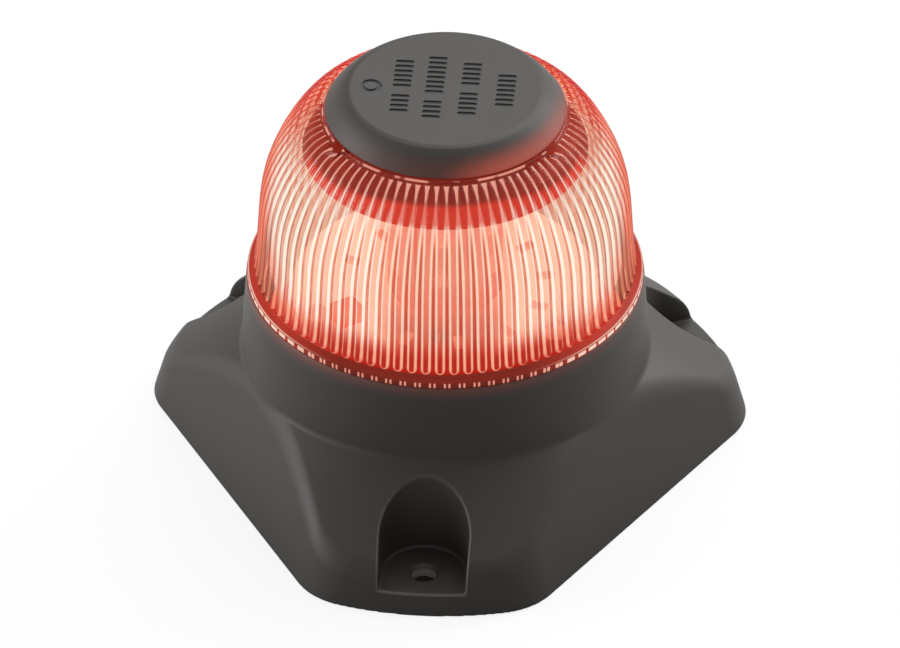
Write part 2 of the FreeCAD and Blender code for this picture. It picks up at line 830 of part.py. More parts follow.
def thermal_pads():
    return on_flats("thermal_pads", lambda k: [
        block("pad_%d" % k, (column_flat, pad_face), span(0.0, strip_width / 2 - 0.3),
              (board_top + 0.4, column_top - 1.0))])


def led_strips():
    return on_flats("led_strips", lambda k: [
        block("strip_%d" % k, (pad_face, strip_face), span(0.0, strip_width / 2),
              (board_top + 0.2, column_top - 0.6))])


def led_packages():
    return on_flats("led_packages", lambda k: [
        block("led_%d_%d" % (k, j), (strip_face, led_face), span(0.0, led_side / 2),
              span(z, led_side / 2))
        for j, z in enumerate(LED_HEIGHTS, 1)])


def dome(name, z):
    """Outer half of a ball on the face of an LED."""
    ball = primitive("Sphere", name + "_ball", {"Radius": led_dome}, led_face, 0.0, z)
    gate = block(name + "_gate", (led_face, led_face + 3), span(0.0, 3.0), span(z, 3.0))
    return common(name, [ball, gate])


def led_domes():
    return on_flats("led_domes", lambda k: [
        dome("dome_%d_%d" % (k, j), z) for j, z in enumerate(LED_HEIGHTS, 1)])


# ------------------------------------------------------------------ reflector on the column
reflector_top = column_top + 2.2


def column_reflector():
    bore, edge = 1.6, 12.6
    return turned("column_reflector", [
        (bore, column_top), (11.2, column_top), (edge, column_top + 1.2),
        (edge, column_top + 1.8), (8.0, reflector_top), (bore, reflector_top)])


def reflector_screw():
    return screw("reflector_screw", (0.0, 0.0),
                 head=(2.9, reflector_top, reflector_top + 1.8),
                 shank=(1.2, column_top - 7.5, reflector_top + 0.3),
                 slot=(2.0, 0.35, reflector_top + 0.8, reflector_top + 2.8), cross=True)


# ------------------------------------------------------------------ lens
crown_under = 71.2                   # underside of the crown
crown_under_radius = 20.6
seal_low, seal_high = 33.6, 35.6     # seal groove in the spigot
seal_floor_radius = 33.2
collar_gap = 0.05                    # flange above the collar
rib_root = 0.4                       # rib sunk below the dome surface


def dome_points(inset):
    """The ridge line moved inward along its normals."""
    line_points = [(float(radius), float(height)) for radius, height in DOME]
    last = len(line_points) - 1
    moved = []
    for i, (radius, height) in enumerate(line_points):
        before, after = line_points[max(i - 1, 0)], line_points[min(i + 1, last)]
        run, rise = after[0] - before[0], after[1] - before[1]
        length = math.hypot(run, rise)
        moved.append(Vector(radius - inset * rise / length, 0, height + inset * run / length))
    return moved


def spline(points):
    curve = Part.BSplineCurve()
    curve.interpolate(points)
    return curve.toShape()


def lines(points):
    return [Part.LineSegment(a, b).toShape() for a, b in zip(points, points[1:])]


def face(edges):
    return Part.Face(Part.Wire(Part.__sortEdges__(edges)))


def rz(radius, z):
    return Vector(float(radius), 0, float(z))


def lens_shell():
    """Crown, dome, flange and spigots turned from one closed profile."""
    valley = dome_points(float(rib_depth))
    inner = dome_points(float(rib_depth) + float(lens_wall))
    inner_run = [point for point in inner if 40.0 < point.z < 70.6]
    flange_low = collar_height + collar_gap
    land_low = seal_bore_floor + 0.1
    edges = lines([rz(0, lens_top), rz(valley[-1].x, lens_top), valley[-1]])
    edges.append(spline(valley[::-1]))
    # foot of the dome, flange, grooved spigot, lower spigot and bore
    edges += lines([
        valley[0],
        rz(valley[0].x + 0.35, flange_top + 0.22),
        rz(flange_radius - 0.6, flange_top),
        rz(flange_radius - 0.15, flange_top - 0.3),
        rz(flange_radius, flange_top - 0.6),
        rz(flange_radius, flange_low),
        rz(spigot_radius, flange_low),
        rz(spigot_radius, seal_high),
        rz(seal_floor_radius, seal_high),
        rz(seal_floor_radius, seal_low),
        rz(spigot_radius, seal_low),
        rz(spigot_radius, land_low),
        rz(spigot_low_radius, land_low),
        rz(spigot_low_radius, lug_low),
        rz(spigot_bore, lug_low),
        rz(spigot_bore, 37.5),
        inner_run[0],
    ])
    edges.append(spline(inner_run))
    edges += lines([inner_run[-1], rz(crown_under_radius, crown_under),
                    rz(0, crown_under), rz(0, lens_top)])
    return fixed("lens_shell", face(edges).revolve(Vector(0, 0, 0), Vector(0, 0, 1), 360))


def lens_ribs():
    """Upright ribs on the dome, spaced evenly round the axis."""
    ridge = dome_points(0.0)
    root = dome_points(float(rib_depth) + rib_root)
    edges = [spline(ridge), spline(root)]
    edges += lines([ridge[0], root[0]]) + lines([ridge[-1], root[-1]])
    width = float(rib_width)
    rib = face(edges).extrude(Vector(0, width, 0))
    rib.translate(Vector(0, -width / 2, 0))
    ribs = []
    for k in range(int(float(rib_count))):
        copy = rib.copy()
        copy.rotate(Vector(0, 0, 0), Vector(0, 0, 1),
                    float(rib_start) + 360.0 / float(rib_count) * k)
        ribs.append(copy)
    return fixed("lens_ribs", Part.makeCompound(ribs))


def lens():
    shell, ribs = lens_shell(), lens_ribs()
    lugs = [fixed("lug_%d" % i, sector(32.0, lug_radius, lug_low, lug_high,
                                       float(lug_start) + base, float(lug_arc)))
            for i, base in enumerate(LUGS, 1)]
    tools = posts("crown_way", cap_screw_circle, THIRDS, 1.5, 70, lens_top + OVER)
    tools += [fixed("key_window_%d" % i, sector(20.6, 24.7, 72.0, 75.0, degrees - 3.9, 7.8))
              for i, degrees in enumerate(KEYS, 1)]
    return cut("lens", fuse("lens_solid", [shell] + lugs + [ribs]), tools)


def lens_seal():
    return torus("lens_seal", 34.05, 0.8, (seal_low + seal_high) / 2)


# ------------------------------------------------------------------ cap and crown shade
cap_groove_inner, cap_groove_outer = 17.95, 19.65
cap_land_inner, cap_land_outer = 16.6, 20.5          # land that rests on the crown
bevel_steps = 6
bevel_bulge = 0.35
shade_top, shade_low = 71.15, 69.95
# Rows of sunk ticks on the cap: x of the row, ticks in each cluster
TICK_ROWS = ((11.0, (7,)), (4.4, (5, 5)), (-2.0, (8, 4)), (-8.0, (6, 4)))
tick_length, tick_width, tick_pitch = 3.4, 0.8, 1.5
cluster_gap = 1.8
tick_depth = 0.3
tick_cutter = 1.0                                    # height of the cutters
mark_x, mark_outer, mark_inner = -13.6, 1.9, 1.2     # sunk ring beside the rows


def cap_shell():
    bevel = []
    for k in range(1, bevel_steps + 1):
        part = k / float(bevel_steps)
        bulge = bevel_bulge * math.sin(math.pi * part)
        bevel.append((cap_flat_radius + (cap_radius - cap_flat_radius) * part + bulge * 0.71,
                      cap_top - (cap_top - cap_shoulder) * part + bulge * 0.70))
    under = cap_top - cap_skin
    return turned("cap_shell", [
        (0, cap_top), (cap_flat_radius - 0.35, cap_top)] + bevel + [
        (cap_radius, cap_rim), (cap_land_outer, cap_rim), (cap_land_outer, lens_top),
        (cap_land_inner, lens_top), (cap_land_inner, under), (0, under)])


def cap_ticks():
    """Cutters for the tick rows and the ring in the flat top."""
    low = float(cap_top) - tick_depth
    ticks = []
    for x, clusters in TICK_ROWS:
        y = (sum(clusters) * tick_pitch + (len(clusters) - 1) * cluster_gap) / 2.0
        for count in clusters:
            for _ in range(count):
                corner = Vector(x - tick_length / 2, y - tick_width, low)
                ticks.append(Part.makeBox(tick_length, tick_width, tick_cutter, corner))
                y -= tick_pitch
            y -= cluster_gap
    centre = Vector(mark_x, 0, low)
    disc = Part.makeCylinder(mark_outer, tick_cutter, centre)
    ticks.append(disc.cut(Part.makeCylinder(mark_inner, tick_cutter, centre)))
    return fixed("cap_ticks", Part.makeCompound(ticks))


def cap():
    shell = cap_shell()
    added = posts("cap_boss", cap_screw_circle, THIRDS, 2.9, lens_top, cap_top - cap_skin + 0.5)
    added += [fixed("cap_key_%d" % i, sector(20.7, 21.8, 72.2, cap_rim + 0.2,
                                             degrees - 3.2, 6.4))
              for i, degrees in enumerate(KEYS, 1)]
    tools = posts("cap_pilot", cap_screw_circle, THIRDS, 1.05, lens_top - OVER, lens_top + 3.4)
    tools.append(tube("cap_groove", cap_groove_inner, cap_groove_outer,
                      lens_top - OVER, lens_top + 1.4))
    tools.append(cap_ticks())
    return cut("cap", fuse("cap_solid", [shell] + added), tools)


def cap_seal():
    return torus("cap_seal", (cap_groove_inner + cap_groove_outer) / 2, 0.66, lens_top + 0.69)


def crown_shade():
    """Dished ring under the crown, its edge turned down."""
    shade = turned("shade", [
        (4.0, shade_top), (19.6, shade_top), (22.2, 69.75), (24.0, 68.35), (25.3, 66.85),
        (26.1, 65.4), (25.1, 65.2), (24.2, 66.4), (23.1, 67.6), (21.5, 68.8),
        (19.2, shade_low), (4.0, shade_low)])
    return cut("crown_shade", shade,
               posts("shade_way", cap_screw_circle, THIRDS, 1.5, 69, 72))


def cap_screws():
    """Screws up through shade and crown into the cap."""
    return screw_set("cap_screws", cap_screw_circle, THIRDS,
                     head=(2.6, shade_low - 1.4, shade_low), shank=(1.02, 69.5, lens_top + 3.2),
                     slot=(1.6, 0.3, 68.0, 69.2), cross=True)


# ------------------------------------------------------------------ build, check and write
# Each piece's label is also the name of its file.
pieces = [
    base_housing(), bottom_plate(), cover_seal(), cover_screws(),
    cable_grommet(), supply_cable(), cable_core("core_red", 1.0),
    cable_core("core_black", -1.0), breather_plug(),
    driver_board(), board_standoffs(), board_screws(), terminal_block(), terminal_screws(),
    smoothing_capacitors(), driver_choke(), choke_winding(), driver_chip(), input_fuse(),
    heat_sink(), heat_sink_screws(),
    led_board(), led_board_screws(), board_resistors(), link_connector(), board_leads(),
    thermal_pads(), led_strips(), led_packages(), led_domes(),
    column_reflector(), reflector_screw(),
    lens(), lens_seal(), cap(), cap_seal(), crown_shade(), cap_screws(),
]
doc.recompute()

failed = [obj.Name for obj in doc.Objects if "Invalid" in obj.State or "Error" in obj.State]
if failed:
    raise RuntimeError("failed objects: %s" % ", ".join(failed))
for piece in pieces:
    shape = piece.Shape
    if shape.isNull() or not shape.isValid() or not shape.Solids or shape.Volume <= 0:
        raise RuntimeError("bad shape: %s" % piece.Label)
for piece in pieces:
    piece.Shape.exportStep("parts/%s.step" % piece.Label)
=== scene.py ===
"""A round signal lamp standing on Z = 0: a dark three-lobed housing, a clear ribbed lens dome lit
red from inside, and a dark cap on the crown. The lamp axis is Z, the front faces -Y, and one of
the three screw pockets is at the front. Lengths are millimetres unless a comment says metres."""
import math

import bpy
import numpy as np
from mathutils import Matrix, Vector


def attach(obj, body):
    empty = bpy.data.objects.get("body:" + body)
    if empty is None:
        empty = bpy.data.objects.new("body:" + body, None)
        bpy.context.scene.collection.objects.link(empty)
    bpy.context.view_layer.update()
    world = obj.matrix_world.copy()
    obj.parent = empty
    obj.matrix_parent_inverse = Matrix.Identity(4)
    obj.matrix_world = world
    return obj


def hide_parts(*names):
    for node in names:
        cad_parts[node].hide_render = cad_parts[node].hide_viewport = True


MM = 0.001                          # metres in a millimetre
CAP_TOP = 78.25                     # highest point of the lamp
END_MARGIN = 0.0005                 # meshes stay this far inside the lamp's height
VIEW_TURN = math.radians(4.6)       # camera, turned from the front towards +X

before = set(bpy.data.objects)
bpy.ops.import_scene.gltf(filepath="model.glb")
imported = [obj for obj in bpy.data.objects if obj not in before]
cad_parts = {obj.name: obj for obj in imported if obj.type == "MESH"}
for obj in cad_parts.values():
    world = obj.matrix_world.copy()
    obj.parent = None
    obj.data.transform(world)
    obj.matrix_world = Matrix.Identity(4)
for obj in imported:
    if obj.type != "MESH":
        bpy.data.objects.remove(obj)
bpy.context.view_layer.update()


# ---------------------------------------------------------------- distance-field mesher
# A field is negative inside the solid.
def round_and(a, b, radius):
    """Intersection of two solids, its edge rounded."""
    over_a, over_b = np.maximum(a + radius, 0), np.maximum(b + radius, 0)
    return np.minimum(np.maximum(a, b), -radius) + np.sqrt(over_a * over_a + over_b * over_b)


def round_or(a, b, radius):
    """Union of two solids, the corner between them filled."""
    under_a, under_b = np.maximum(radius - a, 0), np.maximum(radius - b, 0)
    return np.maximum(np.minimum(a, b), radius) - np.sqrt(under_a * under_a + under_b * under_b)


CORNERS = [(i, j, k) for i in (0, 1) for j in (0, 1) for k in (0, 1)]
CELL_EDGES = [(a, b) for a in CORNERS for b in CORNERS
              if sum(b) - sum(a) == 1 and all(y >= x for x, y in zip(a, b))]
SLAB = 16                           # grid layers sampled at a time, to save memory
GRID_SHIFT = 0.137                  # part of a step that the grid is moved off round numbers


def sample_grid(field, axes):
    values = np.empty([len(axis) for axis in axes], np.float32)
    for k in range(0, len(axes[2]), SLAB):
        grid = np.meshgrid(axes[0], axes[1], axes[2][k:k + SLAB], indexing="ij")
        values[:, :, k:k + SLAB] = field(*grid)
    return values


def slope(field, points, reach):
    """Field values at the points, and their gradients."""
    gradient = np.empty_like(points)
    for axis in range(3):
        offset = np.zeros(3)
        offset[axis] = reach
        ahead, behind = points + offset, points - offset
        gradient[:, axis] = (field(*ahead.T) - field(*behind.T)) / (2 * reach)
    return field(*points.T), gradient


def pull_onto_surface(field, points, step):
    home = points.copy()
    for _ in range(3):
        value, gradient = slope(field, points, step * 0.2)
        move = -value[:, None] * gradient / np.maximum((gradient * gradient).sum(1), 0.2)[:, None]
        points = points + np.clip(move, -0.4 * step, 0.4 * step)
        points = np.clip(points, home - 0.6 * step, home + 0.6 * step)
    return points


def net_quads(solid, index):
    """A quad across every grid edge that passes through the surface."""
    size = solid.shape
    quads = []
    for axis in range(3):
        u, w = (axis + 1) % 3, (axis + 2) % 3
        here, ahead = [slice(None)] * 3, [slice(None)] * 3
        here[axis], ahead[axis] = slice(0, -1), slice(1, None)
        a, b = solid[tuple(here)], solid[tuple(ahead)]
        for flip, crossing in ((False, a & ~b), (True, ~a & b)):
            grid = np.stack(np.nonzero(crossing), 1)
            inside = ((grid[:, u] > 0) & (grid[:, w] > 0)
                      & (grid[:, u] < size[u] - 1) & (grid[:, w] < size[w] - 1))
            grid = grid[inside]
            ring = []
            for du, dw in ((-1, -1), (0, -1), (0, 0), (-1, 0)):
                cell = grid.copy()
                cell[:, u] += du
                cell[:, w] += dw
                ring.append(index[cell[:, 0], cell[:, 1], cell[:, 2]])
            quad = np.stack(ring, 1)
            quads.append(quad[:, ::-1] if flip else quad)
    return np.concatenate(quads)


def surface_net(field, low, high, step):
    """Surface net of a field over a box: (vertices, quads)."""
    axes = [np.arange(lo - 2 * step, hi + 2.5 * step, step) + step * GRID_SHIFT
            for lo, hi in zip(low, high)]
    values = sample_grid(field, axes)
    size = values.shape
    solid = values < 0
    count = np.zeros([n - 1 for n in size], np.uint8)
    for i, j, k in CORNERS:
        count += solid[i:size[0] - 1 + i, j:size[1] - 1 + j, k:size[2] - 1 + k]
    live = (count > 0) & (count < 8)
    I, J, K = np.nonzero(live)
    index = np.full(live.shape, -1, np.int64)
    index[I, J, K] = np.arange(len(I))
    # each vertex is the mean of the crossings on its cell's edges
    total = np.zeros((len(I), 3))
    hits = np.zeros(len(I))
    for a, b in CELL_EDGES:
        at_a = values[I + a[0], J + a[1], K + a[2]].astype(float)
        at_b = values[I + b[0], J + b[1], K + b[2]].astype(float)
        crosses = (at_a < 0) != (at_b < 0)
        t = np.where(crosses, at_a / np.where(crosses, at_a - at_b, 1), 0)
        for c in range(3):
            total[:, c] += np.where(crosses, a[c] + t * (b[c] - a[c]), 0)
        hits += crosses
    cell = np.stack([I, J, K], 1) + total / hits[:, None]
    points = np.stack([axes[c][0] + cell[:, c] * step for c in range(3)], 1)
    return pull_onto_surface(field, points, step), net_quads(solid, index)


def new_object(name, points, faces):
    """Smooth mesh object from millimetre points and faces of equal size."""
    points = np.array(points, float)
    points[:, 2] = np.clip(points[:, 2], END_MARGIN, CAP_TOP - END_MARGIN)
    points *= MM
    faces = np.asarray(faces)
    count, corners = faces.shape
    mesh = bpy.data.meshes.new(name)
    mesh.vertices.add(len(points))
    mesh.vertices.foreach_set("co", points.ravel().astype(np.float32))
    mesh.loops.add(faces.size)
    mesh.loops.foreach_set("vertex_index", faces.ravel().astype(np.int32))
    mesh.polygons.add(count)
    mesh.polygons.foreach_set("loop_start", (np.arange(count) * corners).astype(np.int32))
    mesh.polygons.foreach_set("loop_total", np.full(count, corners, np.int32))
    mesh.polygons.foreach_set("use_smooth", np.ones(count, bool))
    mesh.update(calc_edges=True)
    mesh.validate()
    ob = bpy.data.objects.new(name, mesh)
    bpy.context.scene.collection.objects.link(ob)
    return ob


def thin_out(ob, faces_wanted, field):
    """Fewer faces where the surface is flat, then exact normals from the field."""
    triangles = sum(len(p.vertices) - 2 for p in ob.data.polygons)
    if triangles > faces_wanted:
        thin = ob.modifiers.new("thin", "DECIMATE")
        thin.ratio = faces_wanted / triangles
        thin.use_collapse_triangulate = True
        graph = bpy.context.evaluated_depsgraph_get()
        mesh = bpy.data.meshes.new_from_object(ob.evaluated_get(graph), depsgraph=graph)
        ob.modifiers.clear()
        old = ob.data
        ob.data = mesh
        bpy.data.meshes.remove(old)
        mesh.name = ob.name
    mesh = ob.data
    mesh.polygons.foreach_set("use_smooth", np.ones(len(mesh.polygons), bool))
    flat = np.empty(len(mesh.vertices) * 3)
    mesh.vertices.foreach_get("co", flat)
    _, normals = slope(field, flat.reshape(-1, 3) / MM, reach=0.02)
    normals /= np.maximum(np.linalg.norm(normals, axis=1), 1e-9)[:, None]
    mesh.normals_split_custom_set_from_vertices(normals.tolist())


# ---------------------------------------------------------------- housing
# plan outline at Z = 0: three flats and three arcs joined by round corners
FOOT_R, FOOT_FLAT, FOOT_CORNER = 56.11, 44.0, 13.2
FLAT_LEAN, ARC_LEAN = 0.29, 0.26    # how far they draw in per millimetre of height
LEAN_COS = 0.962                    # plan distance to distance from the leaning wall
COLLAR_FOOT_R, COLLAR_FOOT_Z = 37.5, 21.5
COLLAR_R, COLLAR_Z = 36.48, 37.1
COLLAR_COS = 0.998
CONE_OUT, CONE_UP = 0.6295, 0.7770  # normal of the conical shoulder
SCREW_R, HOLE_R = 48.3, 2.25
POCKET_FLOOR, POCKET_R, POCKET_LEAN = 4.25, 7.95, 0.035
CHAMFER, COS_45 = 0.42, 0.7071
BORE_R, SEAT_R, LEDGE_R = 33.0, 34.9, 28.6
SEAT_Z, LEDGE_LOW, LEDGE_HIGH = 32.0, 21.4, 23.6
RECESS_INSET, RECESS_TOP = 2.0, 1.6


def foot_plan(x, y, z, inset=0.0):
    """Distance to the leaning plan outline at a point's own height."""
    flat = FOOT_FLAT - inset - FLAT_LEAN * z
    arc = FOOT_R - inset - ARC_LEAN * z
    corner = FOOT_CORNER - inset * 0.9
    centre_y = np.sqrt(np.maximum((arc - corner) ** 2 - (flat - corner) ** 2, 1e-6))
    r = np.hypot(x, y)
    turn = np.arctan2(y, x) - math.radians(90)
    turn = np.abs((turn + math.radians(60)) % math.radians(120) - math.radians(60))
    px, py = r * np.cos(turn), r * np.sin(turn)
    centre_x = flat - corner
    bearing = np.arctan2(py - centre_y, px - centre_x)
    on_corner = np.hypot(px - centre_x, py - centre_y) - corner
    beyond = np.where(bearing < np.arctan2(centre_y, centre_x), on_corner, r - arc)
    plan = np.where(py < centre_y, px - flat, beyond)
    # deep inside, past the corner centre, the nearer of side and arc
    inner = np.maximum(px - flat, r - arc)
    return np.where((px < centre_x) & (py >= centre_y), inner, plan)


def pocket_frame(x, y):
    """Point seen from the nearest screw hole: across, and outward from it."""
    r = np.hypot(x, y)
    turn = np.arctan2(y, x) - math.radians(270)
    turn = (turn + math.radians(60)) % math.radians(120) - math.radians(60)
    return r * np.sin(turn), r * np.cos(turn) - SCREW_R


def pocket_field(x, y, z):
    """Screw pocket: round towards the axis, straight-sided and open outwards."""
    across, out = pocket_frame(x, y)
    pocket_r = POCKET_R + POCKET_LEAN * (z - POCKET_FLOOR)
    wall = np.where(out > 0, np.abs(across), np.hypot(across, out)) - pocket_r
    wall = np.maximum(wall, -np.hypot(x, y) + 20)
    return round_and(wall, POCKET_FLOOR - z, radius=0.5)


def screw_hole_field(x, y, z):
    """Screw hole with a 45 degree chamfer at the pocket floor."""
    hole_r = np.hypot(*pocket_frame(x, y))
    mouth = (hole_r - HOLE_R) * COS_45 - (z - POCKET_FLOOR + CHAMFER) * COS_45
    return np.maximum(np.minimum(hole_r - HOLE_R, mouth), z - POCKET_FLOOR - 3)


def housing_field(x, y, z):
    r = np.hypot(x, y)
    foot = foot_plan(x, y, z) * LEAN_COS
    cone = (r - COLLAR_FOOT_R) * CONE_OUT + (z - COLLAR_FOOT_Z) * CONE_UP
    skirt = round_and(cone, foot, radius=1.5)
    lean = (COLLAR_FOOT_R - COLLAR_R) / (COLLAR_Z - COLLAR_FOOT_Z)
    collar = (r - (COLLAR_FOOT_R - lean * (z - COLLAR_FOOT_Z))) * COLLAR_COS
    collar = round_and(collar, z - COLLAR_Z, radius=0.45)
    collar = np.maximum(collar, COLLAR_FOOT_Z - 6 - z)
    body = round_or(skirt, collar, radius=0.45)
    body = round_and(body, -z, radius=0.35)
    body = round_and(body, -pocket_field(x, y, z), radius=0.38)
    body = round_and(body, -screw_hole_field(x, y, z), radius=0.12)
    # stepped bore of the collar tube, open at both ends
    on_ledge = (z > LEDGE_LOW) & (z < LEDGE_HIGH)
    bore = r - np.where(z > SEAT_Z, SEAT_R, np.where(on_ledge, LEDGE_R, BORE_R))
    body = np.maximum(body, -bore)
    # recess of the bottom plate
    recess = np.maximum(foot_plan(x, y, z, RECESS_INSET) * LEAN_COS, z - RECESS_TOP)
    return np.maximum(body, -recess)


housing = new_object("housing_shell", *surface_net(
    housing_field, low=(-57, -57, 0), high=(57, 55, 38), step=0.38))
thin_out(housing, 185000, housing_field)
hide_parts("base_housing")
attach(housing, "base")

# ---------------------------------------------------------------- cap
LENS_TOP = 73.55
CAP_R, CAP_FLAT_R = 22.07, 17.86
CAP_SHOULDER, CAP_RIM = 73.96, 73.78
BEVEL_BULGE, BULGE_COS = 0.35, 0.98
SPIGOT_OUTER, SPIGOT_INNER = 20.5, 16.6
CAP_THICK = 1.8
# sunk marks on the flat top: (x of a row, ticks in each group from +Y to -Y)
TICK_ROWS = ((11.0, (7,)), (4.4, (5, 5)), (-2.0, (8, 4)), (-8.0, (6, 4)))
TICK_PITCH, TICK_GAP, TICK_HALF, TICK_R = 1.5, 1.8, 1.3, 0.4
MARK_DEPTH = 0.3
RING_X, RING_R, RING_HALF = -13.6, 1.55, 0.35


def mark_field(x, y):
    """Plan distance to the nearest sunk tick or ring on the flat top."""
    nearest = np.full(x.shape, 9.0)
    for row_x, groups in TICK_ROWS:
        total = sum(groups) * TICK_PITCH + (len(groups) - 1) * TICK_GAP
        at = total / 2.0
        for ticks in groups:
            first = at - TICK_R
            k = np.clip(np.round((first - y) / TICK_PITCH), 0, ticks - 1)
            tick_y = first - TICK_PITCH * k
            off_x, off_y = np.abs(x - row_x) - TICK_HALF, np.abs(y - tick_y)
            nearest = np.minimum(nearest, np.hypot(np.maximum(off_x, 0), off_y) - TICK_R)
            at -= TICK_PITCH * ticks + TICK_GAP
    return np.minimum(nearest, np.abs(np.hypot(x - RING_X, y) - RING_R) - RING_HALF)


def cap_field(x, y, z):
    r = np.hypot(x, y)
    run, drop = CAP_R - CAP_FLAT_R, CAP_TOP - CAP_SHOULDER
    along = np.clip((r - CAP_FLAT_R) / run, 0, 1)
    bevel = ((r - CAP_FLAT_R) * drop + (z - CAP_TOP) * run) / math.hypot(run, drop)
    bevel = bevel - BEVEL_BULGE * np.sin(math.pi * along) * BULGE_COS
    body = round_and(bevel, z - CAP_TOP, radius=0.42)
    body = round_and(body, r - CAP_R, radius=0.22)
    body = round_and(body, CAP_RIM - z, radius=0.1)
    under = np.where(r < SPIGOT_INNER, CAP_TOP - CAP_THICK, LENS_TOP)
    body = np.maximum(body, np.where(r < SPIGOT_OUTER, under, CAP_RIM) - z)
    spigot = np.maximum(np.maximum(r - SPIGOT_OUTER, SPIGOT_INNER - r),
                        np.maximum(LENS_TOP - z, z - CAP_RIM - 0.3))
    body = np.minimum(body, spigot)
    cut = round_and(mark_field(x, y), CAP_TOP - MARK_DEPTH - z, radius=0.12)
    return round_and(body, -cut, radius=0.08)


cap = new_object("cap_moulding", *surface_net(
    cap_field, low=(-22.4, -22.4, 73.4), high=(22.4, 22.4, 78.4), step=0.16))
thin_out(cap, 120000, cap_field)
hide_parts("cap")
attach(cap, "lens_head")

# ---------------------------------------------------------------- lens
RIBS, RIB_START, RIB_DEPTH, RIB_HALF, LENS_WALL = 84, math.radians(-1.3), 0.55, 0.725, 2.2
RIB_PITCH = 2 * math.pi / RIBS
PLAIN_COUNT = RIBS * 2              # points in a ring without ribs
# columns across one rib, in half widths, closer together on the flanks
ACROSS = np.array([-1.0, -0.9, -0.68, -0.3, 0.3, 0.68, 0.9, 1.0])
NOTCHES = (94.0, 214.0, 334.0)      # bearings of the three sunk places beside the cap
NOTCH_HALF, NOTCH_Z = 3.9, 72.0
# outline along the rib tops, foot to crown: (radius, height)
RIDGE = np.array([
    (35.22, 39.25), (34.93, 41.1), (34.42, 46.06), (34.17, 50.05), (33.83, 54.47), (33.26, 57.8),
    (32.25, 61.1), (30.66, 64.76), (28.69, 68.2), (26.73, 70.71), (24.6, 72.45), (22.4, LENS_TOP)])
HUB_R, CROWN_UNDER = 18.0, 71.2
# bore and spigots from the dome down to the underside of the flange: (radius, height)
BORE_RINGS = [(30.9, 37.5), (30.9, 27.0), (32.92, 27.0), (32.92, 32.1), (34.82, 32.1),
              (34.82, 33.6), (33.2, 33.6), (33.2, 35.6), (34.82, 35.6), (34.82, 37.15)]
# flange from its underside up to the foot of the ribs: (radius, height)
FLANGE_RINGS = [(35.3, 37.15), (36.15, 37.15), (36.3, 37.25), (36.3, 37.7), (36.3, 38.1),
                (36.24, 38.24), (35.78, 38.68), (35.68, 38.74), (35.4, 38.79), (35.1, 38.86),
                (34.85, 38.98)]
# land between the ribs and the cap: (radius, height)
LAND_RINGS = [(22.2, 73.52), (21.9, LENS_TOP), (21.3, LENS_TOP), (20.65, LENS_TOP),
              (20.4, LENS_TOP)]


def natural_spline(knots, values, at):
    """Natural cubic spline through (knots, values), read at the given places."""
    n = len(knots)
    matrix = np.eye(n)
    right = np.zeros(n)
    for i in range(1, n - 1):
        h0, h1 = knots[i] - knots[i - 1], knots[i + 1] - knots[i]
        matrix[i, i - 1], matrix[i, i], matrix[i, i + 1] = h0, 2 * (h0 + h1), h1
        right[i] = 6 * ((values[i + 1] - values[i]) / h1 - (values[i] - values[i - 1]) / h0)
    bend = np.linalg.solve(matrix, right)
    k = np.clip(np.searchsorted(knots, at) - 1, 0, n - 2)
    h = knots[k + 1] - knots[k]
    a, b = (knots[k + 1] - at) / h, (at - knots[k]) / h
    cubic = (a ** 3 - a) * bend[k] + (b ** 3 - b) * bend[k + 1]
    return a * values[k] + b * values[k + 1] + cubic * h * h / 6


chord = np.concatenate([[0], np.cumsum(np.hypot(*np.diff(RIDGE, axis=0).T))])
fine = np.linspace(0, chord[-1], 4001)
fine_r, fine_z = [natural_spline(chord, RIDGE[:, c], fine) for c in (0, 1)]
fine_run = np.concatenate([[0], np.cumsum(np.hypot(np.diff(fine_r), np.diff(fine_z)))])
RUN = fine_run[-1]                  # length of the ridge line
RIB_END = RUN - 0.55


def ridge_at(along):
    """Ridge line and its outward normal, at arc length along from the foot."""
    r, z = np.interp(along, fine_run, fine_r), np.interp(along, fine_run, fine_z)
    low, high = np.clip(along - 0.05, 0, RUN), np.clip(along + 0.05, 0, RUN)
    dr = np.interp(high, fine_run, fine_r) - np.interp(low, fine_run, fine_r)
    dz = np.interp(high, fine_run, fine_z) - np.interp(low, fine_run, fine_z)
    size = np.hypot(dr, dz)
    return r, z, dz / size, -dr / size


def half_at(r):
    """Half the width of a rib, which tapers over its last few millimetres at the crown."""
    return RIB_HALF - 0.42 * (1 - np.clip((r - 22.9) / 2.8, 0, 1)) ** 2


def rib_height(side, half, along):
    """0 in the groove, 1 on a rib: rounded flanks and foot, ramping out at the crown."""
    low = np.maximum(half - along, 0)
    depth = half - np.sqrt(side ** 2 + low ** 2)
    t = np.clip(depth / (0.7 * half), 0, 1)
    ramp = np.clip((RIB_END - along) / 0.35, 0, 1)
    return np.sqrt(np.clip(1 - (1 - t) ** 2, 0, 1)) * (1 - 0.06 * (side / half) ** 2) * ramp


def fluted(r):
    """Column angles of a ribbed ring, and their distance from the rib centre."""
    half = half_at(r) / r
    gap = half + (RIB_PITCH - 2 * half) * np.array([1 / 3.0, 2 / 3.0])
    one = np.concatenate([ACROSS * half, gap])
    centres = RIB_START + RIB_PITCH * np.arange(RIBS)
    return (centres[:, None] + one[None, :]).ravel(), np.tile(one * r, RIBS)


def plain(r):
    """Evenly spaced angles, the first in line with the ribbed ring of radius r."""
    return fluted(r)[0][0] + 2 * math.pi / PLAIN_COUNT * np.arange(PLAIN_COUNT)


